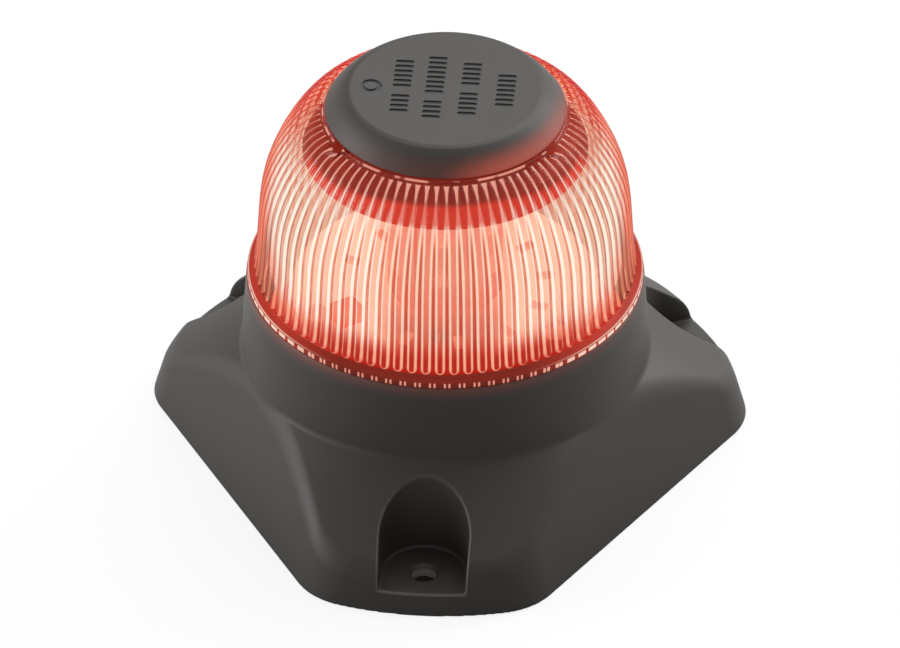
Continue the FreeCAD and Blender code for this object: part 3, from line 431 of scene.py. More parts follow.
class RingMesh:
    """A surface built up from closed rings about Z."""

    def __init__(self):
        self.points, self.faces = [], []

    def ring(self, r, z, angles):
        """Adds a ring, sunk at the notches; returns its point numbers."""
        first = sum(len(p) for p in self.points)
        height = np.broadcast_to(z, angles.shape)
        points = np.stack([r * np.cos(angles), r * np.sin(angles), height], 1)
        radii, bearing = np.broadcast_to(r, angles.shape), np.degrees(angles) % 360
        for notch in NOTCHES:
            off = np.abs((bearing - notch + 180) % 360 - 180)
            on_land = (radii > 20.6) & (radii < 24.7) & (points[:, 2] > NOTCH_Z)
            points[(off < NOTCH_HALF) & on_land, 2] = NOTCH_Z
        self.points.append(points)
        return first + np.arange(len(angles))

    def fan(self, ring, hub, up):
        """Closes a ring to one point, facing up or down."""
        for a, b in zip(ring, np.roll(ring, -1)):
            self.faces.append([a, b, hub] if up else [hub, b, a])

    def skin(self, a, b):
        """Faces between ring a and the next ring b; either may be the coarser one."""
        if len(a) == len(b):
            next_a, next_b = np.roll(a, -1), np.roll(b, -1)
            self.faces.extend(np.stack([a, next_a, next_b], 1).tolist())
            self.faces.extend(np.stack([a, next_b, b], 1).tolist())
            return
        many, few, order = (a, b, 1) if len(a) > len(b) else (b, a, -1)
        step = len(many) // len(few)
        for i in range(len(few)):
            j = (i + 1) % len(few)
            for k in range(step):
                p, q = many[i * step + k], many[(i * step + k + 1) % len(many)]
                tip = few[i] if k < step // 2 + 1 else few[j]
                self.faces.append([p, q, tip][::order])
            middle = many[i * step + step // 2 + 1]
            self.faces.append([middle, few[j], few[i]][::order])

    def skins(self, rings):
        for a, b in zip(rings[:-1], rings[1:]):
            self.skin(a, b)


def lens_inner(mesh):
    """Crown, dome, bore and spigots; returns the last ring, under the flange."""
    angles = plain(RIDGE[0, 0])
    r, z, normal_r, normal_z = ridge_at(np.linspace(1.4, RUN - 2.2, 34))
    offset = RIB_DEPTH + LENS_WALL
    dome = [(a, b) for a, b in zip(r - normal_r * offset, z - normal_z * offset) if b < 71.0]
    profile = [(HUB_R, CROWN_UNDER), (20.6, CROWN_UNDER)] + dome[::-1] + BORE_RINGS
    hub = mesh.ring(0.0, CROWN_UNDER, np.zeros(1))[0]
    rings = [mesh.ring(r, z, angles) for r, z in profile]
    mesh.fan(rings[0], hub, up=False)
    mesh.skins(rings)
    return rings[-1]


def lens_outer(mesh, start):
    """Flange, ribbed dome and crown, carried on from the inner surface's last ring."""
    angles, _ = fluted(RIDGE[0, 0])
    rings = [mesh.ring(r, z, angles) for r, z in FLANGE_RINGS]
    # rows up the dome, closer together where the ribs start and end
    rows = np.concatenate([
        np.arange(0.04, 1.05, 0.1), np.linspace(1.2, 3.0, 5), np.linspace(4.4, RUN - 3.4, 24),
        np.linspace(RUN - 2.6, RUN - 1.6, 4), np.arange(RUN - 1.45, RUN - 0.02, 0.13), [RUN]])
    for along in rows:
        r, z, normal_r, normal_z = ridge_at(along)
        angles, side = fluted(r)
        half = half_at(r)
        tall = rib_height(np.minimum(np.abs(side), half + 1e-3), half, along)
        # the groove floor comes up to meet the crown
        rise = np.clip((along - (RUN - 0.5)) / 0.45, 0, 1)
        inset = RIB_DEPTH * (1 - np.maximum(tall, rise * rise * (3 - 2 * rise) * 0.9))
        rings.append(mesh.ring(r - normal_r * inset, z - normal_z * inset, angles))
    angles, _ = fluted(RIDGE[-1, 0])
    rings += [mesh.ring(r, z, angles) for r, z in LAND_RINGS]
    mesh.skins([start] + rings)
    middle = mesh.ring(HUB_R, LENS_TOP, plain(RIDGE[-1, 0]))
    mesh.skin(rings[-1], middle)
    mesh.fan(middle, mesh.ring(0.0, LENS_TOP, np.zeros(1))[0], up=True)


lens_mesh = RingMesh()
last_inner = lens_inner(lens_mesh)
inner_faces = len(lens_mesh.faces)
lens_outer(lens_mesh, last_inner)
lens = new_object("lens_dome", np.concatenate(lens_mesh.points), lens_mesh.faces)
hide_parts("lens")
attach(lens, "lens_head")


# ---------------------------------------------------------------- node helpers
def lin(*rgb):
    """0..255 display values to linear."""
    return tuple((c / 255 / 12.92) if c <= 10.3 else ((c / 255 + 0.055) / 1.055) ** 2.4
                 for c in rgb)


def scaled(colour, factor):
    return tuple(c * factor for c in colour)


class Value:
    """An output socket that can be reckoned with: each operation adds its nodes."""

    def __init__(self, graph, socket):
        self.graph, self.socket = graph, socket

    def __add__(self, other):
        return self.graph.math("ADD", self, other)

    def __sub__(self, other):
        return self.graph.math("SUBTRACT", self, other)

    def __rsub__(self, other):
        return self.graph.math("SUBTRACT", other, self)

    def __mul__(self, other):
        return self.graph.math("MULTIPLY", self, other)

    def __rmul__(self, other):
        return self.graph.math("MULTIPLY", other, self)

    def __truediv__(self, other):
        return self.graph.math("DIVIDE", self, other)

    def __abs__(self):
        return self.graph.math("ABSOLUTE", self)

    def sqrt(self):
        return self.graph.math("SQRT", self)

    def max(self, other, clamp=False):
        return self.graph.math("MAXIMUM", self, other, clamp=clamp)

    def affine(self, gain, base, clamp=False):
        """self * gain + base, in one node."""
        return self.graph.math("MULTIPLY_ADD", self, gain, base, clamp=clamp)

    def off_round(self):
        """Signed distance to the nearest whole number."""
        return self - self.graph.math("ROUND", self)

    def step(self, start, end):
        """Smoothly 0 to 1 as this value goes from start to end."""
        return self.graph.value(
            "ShaderNodeMapRange", {"Value": self, "From Min": start, "From Max": end},
            "Result", interpolation_type="SMOOTHSTEP")

    def blend(self, a, b):
        """Plain number: a where this is 0, b where it is 1."""
        return a * (1.0 - self) + b * self

    def mix(self, a, b):
        """Colour: a where this is 0, b where it is 1."""
        return self.graph.mix(self, a, b)

    def mix_shaders(self, a, b):
        return self.graph.value("ShaderNodeMixShader", {0: self, 1: a, 2: b})


class Graph:
    """A short way to write a material's nodes."""

    def __init__(self, owner):
        self.tree = owner.node_tree
        self.tree.nodes.clear()

    def add(self, kind, inputs=None, **settings):
        node = self.tree.nodes.new(kind)
        for key, setting in settings.items():
            setattr(node, key, setting)
        for key, given in (inputs or {}).items():
            self.put(node.inputs[key], given)
        return node

    def value(self, kind, inputs=None, output=0, **settings):
        return Value(self, self.add(kind, inputs, **settings).outputs[output])

    def put(self, socket, given):
        if isinstance(given, Value):
            self.tree.links.new(given.socket, socket)
        elif isinstance(given, tuple):
            socket.default_value = (*given, 1.0)[:len(socket.default_value)]
        elif given is not None:
            socket.default_value = given

    def math(self, operation, a, b=None, c=None, clamp=False):
        return self.value("ShaderNodeMath", {0: a, 1: b, 2: c},
                          operation=operation, use_clamp=clamp)

    def mix(self, factor, a, b):
        return self.value("ShaderNodeMix", {0: factor, 6: a, 7: b}, 2,
                          data_type="RGBA", blend_type="MIX")

    def xyz(self, vector):
        node = self.add("ShaderNodeSeparateXYZ", {0: vector})
        return [Value(self, node.outputs[i]) for i in range(3)]

    def place(self):
        """Object coordinates in millimetres."""
        metres = self.value("ShaderNodeTexCoord", output="Object")
        return self.value("ShaderNodeVectorMath", {0: metres, "Scale": 1 / MM},
                          operation="SCALE")

    def noise(self, place, size, detail=2.0, rough=0.5):
        """Noise whose features are about size millimetres."""
        return self.value("ShaderNodeTexNoise", {
            "Vector": place, "Scale": 1.0 / size, "Detail": detail, "Roughness": rough})

    def bump(self, height, strength, depth):
        return self.value("ShaderNodeBump", {
            "Strength": strength, "Distance": depth * MM, "Height": height})

    def surface(self, colour, rough, normal, metal=0.0, spec=0.5, coat=0.0,
                glow=None, power=None):
        return self.value("ShaderNodeBsdfPrincipled", {
            "Base Color": colour, "Roughness": rough, "Metallic": metal,
            "Specular IOR Level": spec, "Coat Weight": coat, "Normal": normal,
            "Emission Color": glow, "Emission Strength": power})

    def lamp_lit(self, place, colour, power, grain_gloss, rough, bump_strength):
        """Half its own colour and half glow, as if bathed in the lamp's light."""
        grain = self.noise(place, size=0.5)
        return self.surface(self.mix(0.5, colour, (0.0, 0.0, 0.0)),
                            grain.affine(grain_gloss, rough),
                            self.bump(grain, bump_strength, depth=0.02),
                            spec=0.3, glow=colour, power=power)

    def out(self, shader):
        self.add("ShaderNodeOutputMaterial", {"Surface": shader})


def length(a, b):
    return (a * a + b * b).sqrt()


def view_right(x, y):
    """Distance to the camera's right of the axis."""
    return x * math.cos(VIEW_TURN) + y * math.sin(VIEW_TURN)


def view_away(x, y):
    """Distance behind the axis as the camera sees it."""
    return y * math.cos(VIEW_TURN) - x * math.sin(VIEW_TURN)


def rib_phase(graph, x, y):
    """Turn about the axis, counted in ribs."""
    return (graph.math("ARCTAN2", y, x) - RIB_START) * (RIBS / (2 * math.pi))


def new_material(name):
    material = bpy.data.materials.new(name)
    material.use_nodes = True
    material.cycles.emission_sampling = "NONE"
    return material, Graph(material)


def set_materials(ob, *materials):
    ob.data.materials.clear()
    for material in materials:
        ob.data.materials.append(material)


def paint(node, material):
    set_materials(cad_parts[node], material)


# ---------------------------------------------------------------- housing and cap plastic
def collar_detail(x, y, z, r, tone):
    """Housing: painted red lamp glow on the collar's top, painted highlights on the pocket edges,
    painted light on the screw hole walls.
    """
    # painted light: the lamp's red glow on the collar's top, stronger at the left
    red = z.step(33.4, COLLAR_Z)
    stronger_left = x.step(-8.0, -26.0).affine(0.06, 0.06)
    red = red * red * r.step(34.0, 36.4) * stronger_left
    for degrees in (-90.0, 30.0, 150.0):
        cos, sin = math.cos(math.radians(degrees)), math.sin(math.radians(degrees))
        hole_x, hole_y = SCREW_R * cos, SCREW_R * sin
        # painted light scattered up the bore: pale walls inside the screw hole
        away = ((x - hole_x) * (x - hole_x) + (y - hole_y) * (y - hole_y)).sqrt()
        bore = away.step(HOLE_R + 0.25, HOLE_R + 0.1)
        bore = bore * z.step(POCKET_FLOOR - 0.2, POCKET_FLOOR - 1.2)
        tone = bore.mix(tone, lin(150, 142, 135))
        # painted highlight: thin light edge round the mouth of the pocket
        across = abs(y * cos - x * sin)
        out = x * cos + y * sin - SCREW_R
        behind = out.graph.math("MINIMUM", out, 0.0)
        pocket_r = z * POCKET_LEAN + (POCKET_R - POCKET_LEAN * POCKET_FLOOR)
        wall = length(across, behind) - pocket_r
        rim = wall.step(0.02, 0.10) * wall.step(0.52, 0.30)
        rim = rim * z.step(POCKET_FLOOR - 0.2, POCKET_FLOOR + 0.2)
        # painted highlight along the outer edge of the pocket floor
        sill_highlight = z.step(3.78, 3.92) * z.step(4.24, 4.16) * out.step(3.2, 4.2) * wall.step(0.4, 0.2)
        near = out.step(-16.0, -13.0) * r.step(30.0, 36.0)
        fainter_high = z.step(20.0, 12.0).affine(0.7, 0.3)
        edge = (rim * fainter_high).max(sill_highlight) * near * 0.7
        tone = edge.mix(tone, lin(84, 80, 75))
    return tone, red


def cap_detail(x, y, z, r, tone):
    """Cap: painted red reflection of the lamp on the bevel, most on its front right, and painted
    shade in the sunk marks.
    """
    # painted reflection: the lamp's red on the bevel, strongest to the front right
    side = (x * 0.824 + y * -0.566).step(12.0, 21.5)
    front = y.step(-10.0, -20.0)
    red = r.step(18.8, 21.9) * (side * 0.36 + front * 0.035 + 0.012)
    # painted shade: darker below the flat top, inside the sunk marks
    sunk_shade = z.step(78.12, 78.0) * r.step(17.0, 16.6)
    return (sunk_shade * 0.8).mix(tone, lin(16, 15, 14)), red


def charcoal(name, detail):
    """Matte charcoal moulding that picks up the lamp's red next to the lens."""
    material, graph = new_material(name)
    place = graph.place()
    x, y, z = graph.xyz(place)
    grain = graph.noise(place, size=0.30, rough=0.6)
    ripple = graph.noise(place, size=1.6, detail=3.0, rough=0.55)
    patch = graph.noise(place, size=14.0, detail=3.0, rough=0.55)
    tone = patch.mix(lin(37, 34, 31), lin(44, 40, 36))
    tone = (grain.step(0.45, 0.8) * 0.35).mix(tone, lin(52, 49, 46))
    gloss = grain.affine(0.10, patch.affine(0.08, 0.44))
    normal = graph.bump(grain * 0.6 + ripple * 0.4, strength=0.35, depth=0.03)
    tone, red = detail(x, y, z, length(x, y), tone)
    graph.out(graph.surface(tone, gloss, normal, glow=lin(232, 92, 66), power=red))
    return material


set_materials(housing, charcoal("housing_shell_plastic", collar_detail))
set_materials(cap, charcoal("cap_moulding_plastic", cap_detail))


# ---------------------------------------------------------------- lens plastic
def seen_edge_on(graph, incoming, x, y, z, r):
    """0 where the dome, taken without its ribs, faces the eye, 1 where it is edge on."""
    eye_x, eye_y, eye_z = graph.xyz(incoming)
    normal_up = z.step(36.0, 82.0) * 0.98
    normal_out = (1.0 - normal_up * normal_up).sqrt()
    return 1.0 - abs((x * eye_x + y * eye_y) / r * normal_out + normal_up * eye_z)


def lens_outside():
    """Clear plastic, lit red inside: the flanks of each rib carry the light as bright lines."""
    material, graph = new_material("lens_outside")
    place = graph.place()
    x, y, z = graph.xyz(place)
    r = length(x, y)
    # distance from the rib centre, and from the rib's edge (negative on the rib)
    arc = r * RIB_PITCH
    side = abs(rib_phase(graph, x, y).off_round()) * arc
    low = (RIB_HALF + 39.28 - z).max(0.0)
    taper = 1.0 - r.affine(1 / 2.8, -22.9 / 2.8, clamp=True)
    edge = length(side, low) - (RIB_HALF - taper * taper * 0.42)
    ribbed = z.step(38.9, 39.15) * r.step(22.75, 22.95)

    # bright lines: a pair on the rib's flanks low down, grooves or threads near the crown
    wobble = graph.noise(place, size=2.2, rough=0.6)
    pair = r.step(26.5, 31.0)
    line_half = wobble.affine(0.09, 0.10) + pair * 0.05
    flanks = 1.0 - abs(edge + 0.04).step(line_half * 0.35, line_half * 1.7)
    groove = edge.step(-0.06, 0.07)
    sideways = abs(view_right(x, y))
    thread = 1.0 - (arc * 0.5 - side).step(0.10, 0.34)
    crown_line = sideways.step(8.0, 13.0).blend(groove, thread)
    line = (flanks * pair + crown_line * (1.0 - pair)) * ribbed
    on_rib = edge.step(0.05, -0.12) * ribbed
    geometry = graph.add("ShaderNodeNewGeometry")
    back = Value(graph, geometry.outputs["Backfacing"])
    incoming = Value(graph, geometry.outputs["Incoming"])
    edge_on = seen_edge_on(graph, incoming, x, y, z, r)

    # tint of the wall: pale salmon; painted lamp light makes it paler to the sides below the
    # crown, redder low down and where it is seen edge on
    streak = graph.noise(place, size=0.9, detail=1.0)
    tint = on_rib.mix(lin(232, 196, 186), lin(240, 206, 198))
    tint = (streak * 0.5).mix(tint, lin(226, 184, 172))
    pale_sides = sideways.step(9.0, 15.0) * z.step(68.0, 62.0) * 0.6
    tint = pale_sides.mix(tint, lin(250, 228, 216))
    # painted shade: darker salmon threads beside the bright lines, inside the rib and in the
    # valley
    thread_in = edge.step(-0.36, -0.27) * edge.step(-0.12, -0.20)
    thread_out = edge.step(0.12, 0.24) * wobble.affine(0.8, 0.35)
    shade_threads = thread_in.max(thread_out, clamp=True) * pair * 0.88
    tint = shade_threads.mix(tint, lin(196, 110, 90))
    # painted lamp light: red foot of the dome, reaching less high at the sides
    beside = sideways.step(12.0, 26.0)
    foot = z.step(47.0 - beside * 3.6, 41.5 - beside * 1.3) * 0.94
    tint = foot.mix(tint, lin(196, 72, 54))
    more_high = z.step(50.0, 63.0).affine(0.3, 0.7)
    rim_tint = z.step(59.0, 67.0).mix(lin(226, 90, 56), lin(242, 142, 112))
    tint = (edge_on.step(0.44, 0.70) * more_high).mix(tint, rim_tint)
    tint = line.mix(tint, lin(255, 240, 230))
    tint = z.step(39.3, 39.0).mix(tint, lin(200, 70, 54))
    clear = graph.value("ShaderNodeBsdfTransparent", {"Color": tint})

    # light carried by the flanks: cream, redder at the foot, the crown and edge on
    cream = z.step(46.0, 41.5).mix(lin(255, 251, 236), lin(252, 178, 148))
    cream = z.step(40.6, 39.5).mix(cream, lin(228, 128, 104))
    cream = z.step(67.0, 72.0).mix(cream, lin(246, 168, 146))
    rim_cream = z.step(58.0, 67.0).mix(lin(247, 136, 98), lin(251, 176, 146))
    cream = (edge_on.step(0.46, 0.72) * 0.95).mix(cream, rim_cream)
    # the front middle is fainter near the crown and more orange over the column
    calm = sideways.step(14.0, 7.0) * z.step(67.0, 68.2) * z.step(71.6, 70.6) * y.step(0.0, -5.0)
    over_column = sideways.step(13.5, 10.5) * y.step(0.0, -5.0) * z.step(69.0, 66.0)
    cream = (over_column * 0.55).mix(cream, lin(255, 196, 158))
    glow = graph.value("ShaderNodeEmission", {"Color": cream})
    level = (0.80 - calm * 0.60 - edge_on.step(0.5, 0.8) * 0.22) * (1.0 - back)
    far = back * z.step(66.0, 60.0) * line.affine(0.3, 0.1)
    shader = (line * level).max(far).mix_shaders(clear, glow)

    # flange: painted lamp light, a bright mark for each rib, wider at the sides of the lamp, over
    # a dark red glowing band
    from_gap = arc * 0.5 - side
    to_side = abs(x).step(16.0, 33.0)
    mark_half = to_side.affine(0.5, 0.10)
    mark = 1.0 - abs(from_gap - 0.42).step(mark_half, mark_half + 0.16)
    mark = mark * z.step(38.25, 38.1)
    mark = mark * z.step(to_side.affine(0.35, 37.0), to_side.affine(0.3, 37.25))
    dark_band = to_side.mix(lin(108, 42, 32), lin(192, 62, 48))
    bright = to_side.mix(lin(232, 150, 130), lin(255, 222, 202))
    band = z.step(39.25, 38.95) * 0.85
    # painted light: bright line round the top of the flange, at the sides only
    flange_line = z.step(38.28, 38.33) * z.step(38.50, 38.44) * to_side * 0.8
    mark = mark.max(flange_line)
    # painted highlight: broken bright line on the crown land's edge, next to the cap
    parts = graph.noise(place, size=3.4, detail=1.0)
    rim = r.step(22.22, 22.34) * r.step(22.74, 22.62) * z.step(73.0, 73.2) * parts.step(0.42, 0.5)
    red = graph.value("ShaderNodeEmission", {"Color": mark.max(rim).mix(dark_band, bright)})
    shader = band.max(mark).max(rim * 0.85).mix_shaders(shader, red)

    # reflections on the front of the surface, weaker on the flange
    shine = graph.value("ShaderNodeBsdfGlossy", {"Roughness": 0.12})
    fresnel = graph.value("ShaderNodeFresnel", {"IOR": 1.45})
    sheen = fresnel * (1.0 - back) * z.step(39.0, 40.0).affine(0.4, 0.15)
    graph.out(sheen.mix_shaders(shader, shine))
    return material


def lens_inside():
    """Inner face of the wall: clear in front, glowing behind with the ribs as stripes."""
    material, graph = new_material("lens_inside")
    place = graph.place()
    x, y, z = graph.xyz(place)
    flow = graph.noise(place, size=5.0, detail=3.0, rough=0.6)
    blot = graph.noise(place, size=2.4, rough=0.55)
    near = graph.value("ShaderNodeNewGeometry", output="Backfacing")
    phase = rib_phase(graph, x, y) + flow * 0.25
    stripe = abs(phase.off_round()).step(0.17, 0.33)
    tint = flow.mix(lin(250, 226, 218), lin(255, 240, 234))
    clear = graph.value("ShaderNodeBsdfTransparent", {"Color": tint})
    # wall behind the column: cream with salmon stripes and blots
    wall = stripe.mix(lin(255, 246, 226), lin(240, 176, 152))
    wall = (blot.step(0.56, 0.66) * 0.6).mix(wall, lin(226, 112, 88))
    wall = (z.step(41.0, 38.5) * 0.7).mix(wall, lin(255, 216, 192))
    # veil over the front wall, paler to both sides
    to_side = abs(view_right(x, y)).step(8.0, 15.0)
    veil = flow.mix(lin(240, 168, 146), lin(250, 200, 178))
    veil = to_side.mix(veil, flow.mix(lin(250, 208, 186), lin(255, 236, 216)))
    glow = graph.value("ShaderNodeEmission", {"Color": near.mix(wall, veil)})
    behind = z.step(70.0, 62.0) * 0.93
    ahead = z.step(64.0, 58.0) * z.step(41.5, 47.0) * flow.affine(0.25, 0.22)
    graph.out(near.blend(behind, ahead).mix_shaders(clear, glow))
    return material


set_materials(lens, lens_outside(), lens_inside())
is_inner = np.arange(len(lens_mesh.faces)) < inner_faces
lens.data.polygons.foreach_set("material_index", is_inner.astype(np.int32))
lens.data.update()


# ---------------------------------------------------------------- what shows through the lens
def lit(name, rgb, power, low=None, rough=0.5):
    """A pale part in the lamp's red light; low is (colour, full below z, none above z)."""
    material, graph = new_material(name)
    place = graph.place()
    patch = graph.noise(place, size=3.0, detail=3.0, rough=0.6)
    base = lin(*rgb)
    colour = patch.mix(scaled(base, 0.92), tuple(min(c * 1.06, 1) for c in base))
    if low:
        low_rgb, full_z, none_z = low
        height = graph.xyz(place)[2]
        colour = height.step(none_z, full_z).mix(colour, lin(*low_rgb))
    graph.out(graph.lamp_lit(place, colour, power, grain_gloss=0.1, rough=rough,
                             bump_strength=0.3))
    return material


def shade_paint():
    """Dark red crown shade with a painted crescent of red lamp light along its front lower edge.
    """
    material, graph = new_material("shade_plastic")
    place = graph.place()
    x, y, z = graph.xyz(place)
    patch = graph.noise(place, size=4.0, detail=3.0, rough=0.6)
    wider_middle = abs(view_right(x, y)).step(24.0, 6.0).affine(1.6, 1.2)
    # painted light: bright crescent along the shade's front lower edge
    lit_crescent = (length(x, y) + wider_middle).step(25.7, 26.9)
    lit_crescent = lit_crescent * view_away(x, y).step(-2.0, -9.0) * z.step(70.0, 68.8)
    dark = patch.mix(lin(126, 46, 37), lin(160, 64, 51))
    colour = lit_crescent.mix(dark, lin(218, 82, 64))
    graph.out(graph.lamp_lit(place, colour, power=0.75, grain_gloss=0.12, rough=0.42,
                             bump_strength=0.4))
    return material


def board_paint():
    """White solder mask in the lamp's light: cream at the sides, redder along its front rim."""
    material, graph = new_material("board_white")
    place = graph.place()
    x, y, _ = graph.xyz(place)
    patch = graph.noise(place, size=3.0, detail=3.0, rough=0.6)
    white = patch.mix(lin(255, 234, 214), lin(255, 246, 232))
    middle = abs(view_right(x, y)).step(13.5, 6.5)
    colour = (middle * 0.8).mix(white, lin(248, 176, 150))
    rim = length(x, y).step(17.0, 26.5)
    front = view_away(x, y).step(0.0, -15.0) * rim.max(middle)
    colour = front.mix(colour, lin(204, 104, 84))
    graph.out(graph.lamp_lit(place, colour, power=0.93, grain_gloss=0.1, rough=0.5,
                             bump_strength=0.3))
    return material


# node, material, display colour, glow, other settings
LIT_PARTS = (
    ("led_strips", "column_white", (240, 186, 170), 0.80, dict(low=((238, 150, 130), 36.0, 44.0))),
    ("led_packages", "led_white", (246, 196, 178), 0.82, {}),
    ("led_domes", "led_dome", (250, 204, 186), 0.84, dict(rough=0.2)),
    ("column_reflector", "reflector_white", (244, 170, 150), 0.7, {}),
    ("heat_sink", "sink_aluminium", (236, 164, 144), 0.70,
     dict(low=((236, 150, 130), 32.0, 38.0), rough=0.35)),
    ("thermal_pads", "pad_grey", (226, 160, 144), 0.66, {}),
    ("link_connector", "connector_cream", (238, 112, 66), 0.85, {}),
    ("board_resistors", "chip_black", (240, 172, 150), 0.85, {}),
    ("led_board_screws", "lit_steel", (236, 176, 156), 0.8, dict(rough=0.3)),
    ("heat_sink_screws", "lit_steel_b", (150, 60, 50), 0.6, dict(rough=0.3)),
    ("reflector_screw", "lit_steel_c", (206, 150, 138), 0.6, dict(rough=0.3)),
    ("board_leads", "tinned", (200, 120, 104), 0.6, dict(rough=0.35)),
    ("cap_screws", "lit_steel_d", (190, 110, 98), 0.4, dict(rough=0.3)),
)
paint("crown_shade", shade_paint())
paint("led_board", board_paint())
for part, material_name, rgb, power, options in LIT_PARTS:
    paint(part, lit(material_name, rgb, power, **options))


# ---------------------------------------------------------------- the rest of the CAD parts
def moulded(name, rgb, rough, grain=0.35, depth=0.02, strength=0.5, vary=0.14, metal=0.0,
            coat=0.0, brushed=None):
    """Fine grain, patchy tone and patchy gloss; brushed stretches the grain along an axis."""
    material, graph = new_material(name)
    place = graph.place()
    grain_place = place
    if brushed:
        grain_place = graph.value("ShaderNodeMapping", {"Scale": brushed, "Vector": place})
    fine_grain = graph.noise(grain_place, grain, detail=3.0, rough=0.6)
    patch = graph.noise(place, size=7.0, detail=3.0, rough=0.6)
    base = lin(*rgb)
    dark = scaled(base, 1 - vary)
    tone = patch.mix(dark, scaled(base, 1 + vary))
    tone = (fine_grain.step(0.3, 0.75) * 0.5).mix(tone, dark)
    gloss = fine_grain.affine(0.10, patch.affine(0.16, rough - 0.08) - 0.05)
    normal = graph.bump(fine_grain, strength, depth)
    graph.out(graph.surface(tone, gloss, normal, metal=metal, coat=coat))
    return material


STEEL = dict(metal=1.0, grain=0.12, depth=0.006, strength=0.4, vary=0.06)
SEAL = dict(grain=0.5, depth=0.03)
# node, material, display colour, roughness, other settings
MOULDED_PARTS = (
    ("bottom_plate", "plate_plastic", (52, 49, 46), 0.58, dict(grain=0.3)),
    ("cover_seal", "cover_seal_rubber", (24, 24, 25), 0.72, SEAL),
    ("lens_seal", "lens_seal_rubber", (30, 28, 28), 0.66, SEAL),
    ("cap_seal", "cap_seal_rubber", (30, 28, 28), 0.66, SEAL),
    ("cable_grommet", "grommet_rubber", (34, 34, 35), 0.7, dict(grain=0.6, depth=0.04)),
    ("supply_cable", "cable_sheath", (26, 26, 28), 0.5,
     dict(grain=0.8, depth=0.03, brushed=(1.0, 1.0, 0.2))),
    ("core_red", "core_red", (186, 22, 20), 0.42, dict(grain=0.4, depth=0.01)),
    ("core_black", "core_black", (22, 22, 24), 0.42, dict(grain=0.4, depth=0.01)),
    ("cover_screws", "cover_screw_steel", (190, 190, 188), 0.28, STEEL),
    ("board_screws", "board_screw_steel", (186, 186, 184), 0.28, STEEL),
    ("terminal_screws", "terminal_screw_steel", (182, 180, 174), 0.28, STEEL),
    ("breather_plug", "vent_black", (36, 36, 38), 0.6, dict(grain=0.25, depth=0.03)),
    ("driver_board", "board_green", (22, 92, 52), 0.38,
     dict(grain=0.5, depth=0.012, vary=0.2, coat=0.3)),
    ("board_standoffs", "brass", (206, 168, 92), 0.3,
     dict(metal=1.0, grain=0.15, depth=0.006, vary=0.08)),
    ("terminal_block", "terminal_green", (44, 132, 76), 0.45, dict(grain=0.4)),
    ("smoothing_capacitors", "can_aluminium", (196, 198, 200), 0.3,
     dict(metal=1.0, grain=0.3, depth=0.006, vary=0.06, brushed=(0.15, 1.0, 1.0))),
    ("driver_choke", "ferrite", (50, 50, 54), 0.6, dict(grain=0.2, depth=0.03)),
    ("choke_winding", "copper", (196, 112, 64), 0.26, dict(metal=1.0, grain=0.25, vary=0.1)),
    ("driver_chip", "driver_chip_black", (28, 28, 30), 0.5, dict(grain=0.2)),
    ("input_fuse", "fuse_cream", (214, 200, 168), 0.45, dict(grain=0.4)),
)
for part, material_name, rgb, rough, options in MOULDED_PARTS:
    paint(part, moulded(material_name, rgb, rough, **options))


# ---------------------------------------------------------------- studio, in metres
def studio_world():
    """White to the camera; for lighting, soft glows from several directions."""
    world = bpy.data.worlds.new("studio")
    bpy.context.scene.world = world
    world.use_nodes = True
    graph = Graph(world)
    x, y, z = graph.xyz(graph.value("ShaderNodeTexCoord", output="Generated"))
    up = z.step(-0.02, 0.95).affine(0.52, 0.10)
    ahead = y.step(-0.15, -0.85)
    rear_right = (x * 0.62 + y * 0.78).step(0.1, 0.95) * 0.62
    left_low = x.step(-0.25, -0.9) * z.step(0.45, 0.05) * 1.35
    right = x.step(0.4, 0.95) * 0.22
    front_low = ahead * z.step(0.4, 0.05) * 0.26
    dimmed_front = 1.0 - ahead * z.step(0.1, 0.4) * 0.2
    level = up * dimmed_front + rear_right + left_low + right + front_low
    seen = graph.value("ShaderNodeLightPath", output="Is Camera Ray")
    background = graph.value("ShaderNodeBackground", {
        "Color": seen.mix((1.0, 0.99, 0.975), (1.0, 1.0, 1.0)),
        "Strength": level * (1.0 - seen) + seen})
    graph.add("ShaderNodeOutputWorld", {0: background})


def area(name, place, aim, size, watts):
    light = bpy.data.lights.new(name, "AREA")
    light.energy = watts
    light.shape = "RECTANGLE"
    light.size, light.size_y = size
    ob = bpy.data.objects.new(name, light)
    bpy.context.scene.collection.objects.link(ob)
    ob.location = place
    ob.rotation_euler = (Vector(aim) - Vector(place)).to_track_quat("-Z", "Y").to_euler()


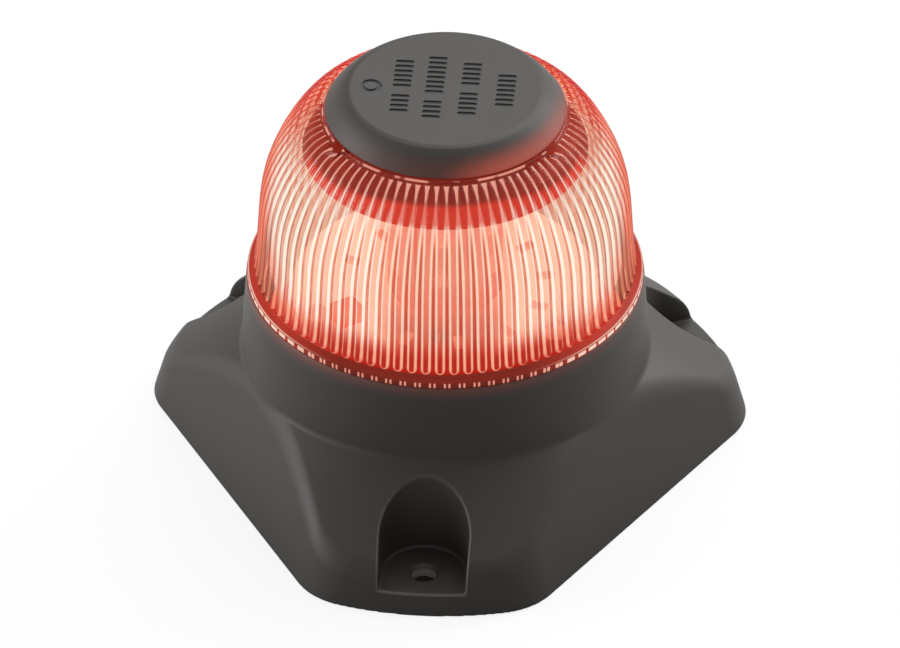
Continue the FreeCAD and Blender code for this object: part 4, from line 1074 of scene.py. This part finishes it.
def floor_paint():
    """Near-white paper to the camera; for bounced light, darker with glows left and front."""
    material, graph = new_material("paper")
    place = graph.place()
    x, y, _ = graph.xyz(place)
    soft = graph.noise(place, size=60.0)
    paper = soft.mix((0.80, 0.80, 0.795), (0.84, 0.84, 0.835))
    ahead = (abs(x) * -1.1 - y).step(-80.0, 60.0)
    dim = ahead.mix((0.66, 0.66, 0.655), (0.30, 0.30, 0.297))
    seen = graph.value("ShaderNodeLightPath", output="Is Camera Ray")
    diffuse = graph.value("ShaderNodeBsdfDiffuse", {"Color": seen.mix(dim, paper)})
    glow = graph.value("ShaderNodeEmission", {"Strength": 1.0})
    bounce = (x.step(-20.0, -110.0) * 0.85).max(y.step(-30.0, -130.0) * 0.46)
    graph.out(seen.blend(bounce, 0.84).mix_shaders(diffuse, glow))
    return material


def add_floor(half_width=2.5, cells=24, z=-0.0001):
    mesh = bpy.data.meshes.new("floor")
    grid = np.linspace(-half_width, half_width, cells + 1)
    points = [(float(a), float(b), z) for b in grid for a in grid]
    row = cells + 1
    quads = [(j * row + i, j * row + i + 1, (j + 1) * row + i + 1, (j + 1) * row + i)
             for j in range(cells) for i in range(cells)]
    mesh.from_pydata(points, [], quads)
    floor = bpy.data.objects.new("floor", mesh)
    bpy.context.scene.collection.objects.link(floor)
    mesh.materials.append(floor_paint())


def add_camera(tilt=math.radians(36.1), reach=4.0, target=(0.0, 0.0, 0.028)):
    """Long lens looking down at the lamp from the front."""
    camera = bpy.data.cameras.new("camera")
    ob = bpy.data.objects.new("camera", camera)
    bpy.context.scene.collection.objects.link(ob)
    back = Vector((math.sin(VIEW_TURN) * math.cos(tilt),
                   -math.cos(VIEW_TURN) * math.cos(tilt), math.sin(tilt)))
    ob.location = Vector(target) + back * reach
    ob.rotation_mode = "QUATERNION"
    ob.rotation_quaternion = (-back).to_track_quat("-Z", "Y")
    camera.sensor_width, camera.lens = 36.0, 872.0
    camera.shift_x, camera.shift_y = 0.0052, -0.0137
    camera.clip_start, camera.clip_end = 0.05, 20.0
    bpy.context.scene.camera = ob


studio_world()
area("key_top", (0.14, 0.46, 0.80), aim=(0, 0, 0.04), size=(0.9, 0.8), watts=5.8)
area("right_rear", (0.75, 0.62, 0.55), aim=(0, 0, 0.05), size=(0.5, 0.7), watts=5.6)
area("left_fill", (-0.9, -0.05, 0.34), aim=(0, 0, 0.02), size=(0.6, 0.4), watts=4.6)
add_floor()
add_camera()
bpy.context.scene.view_settings.view_transform = "Standard"
bpy.context.scene.view_settings.look = "None"

bpy.context.view_layer.update()
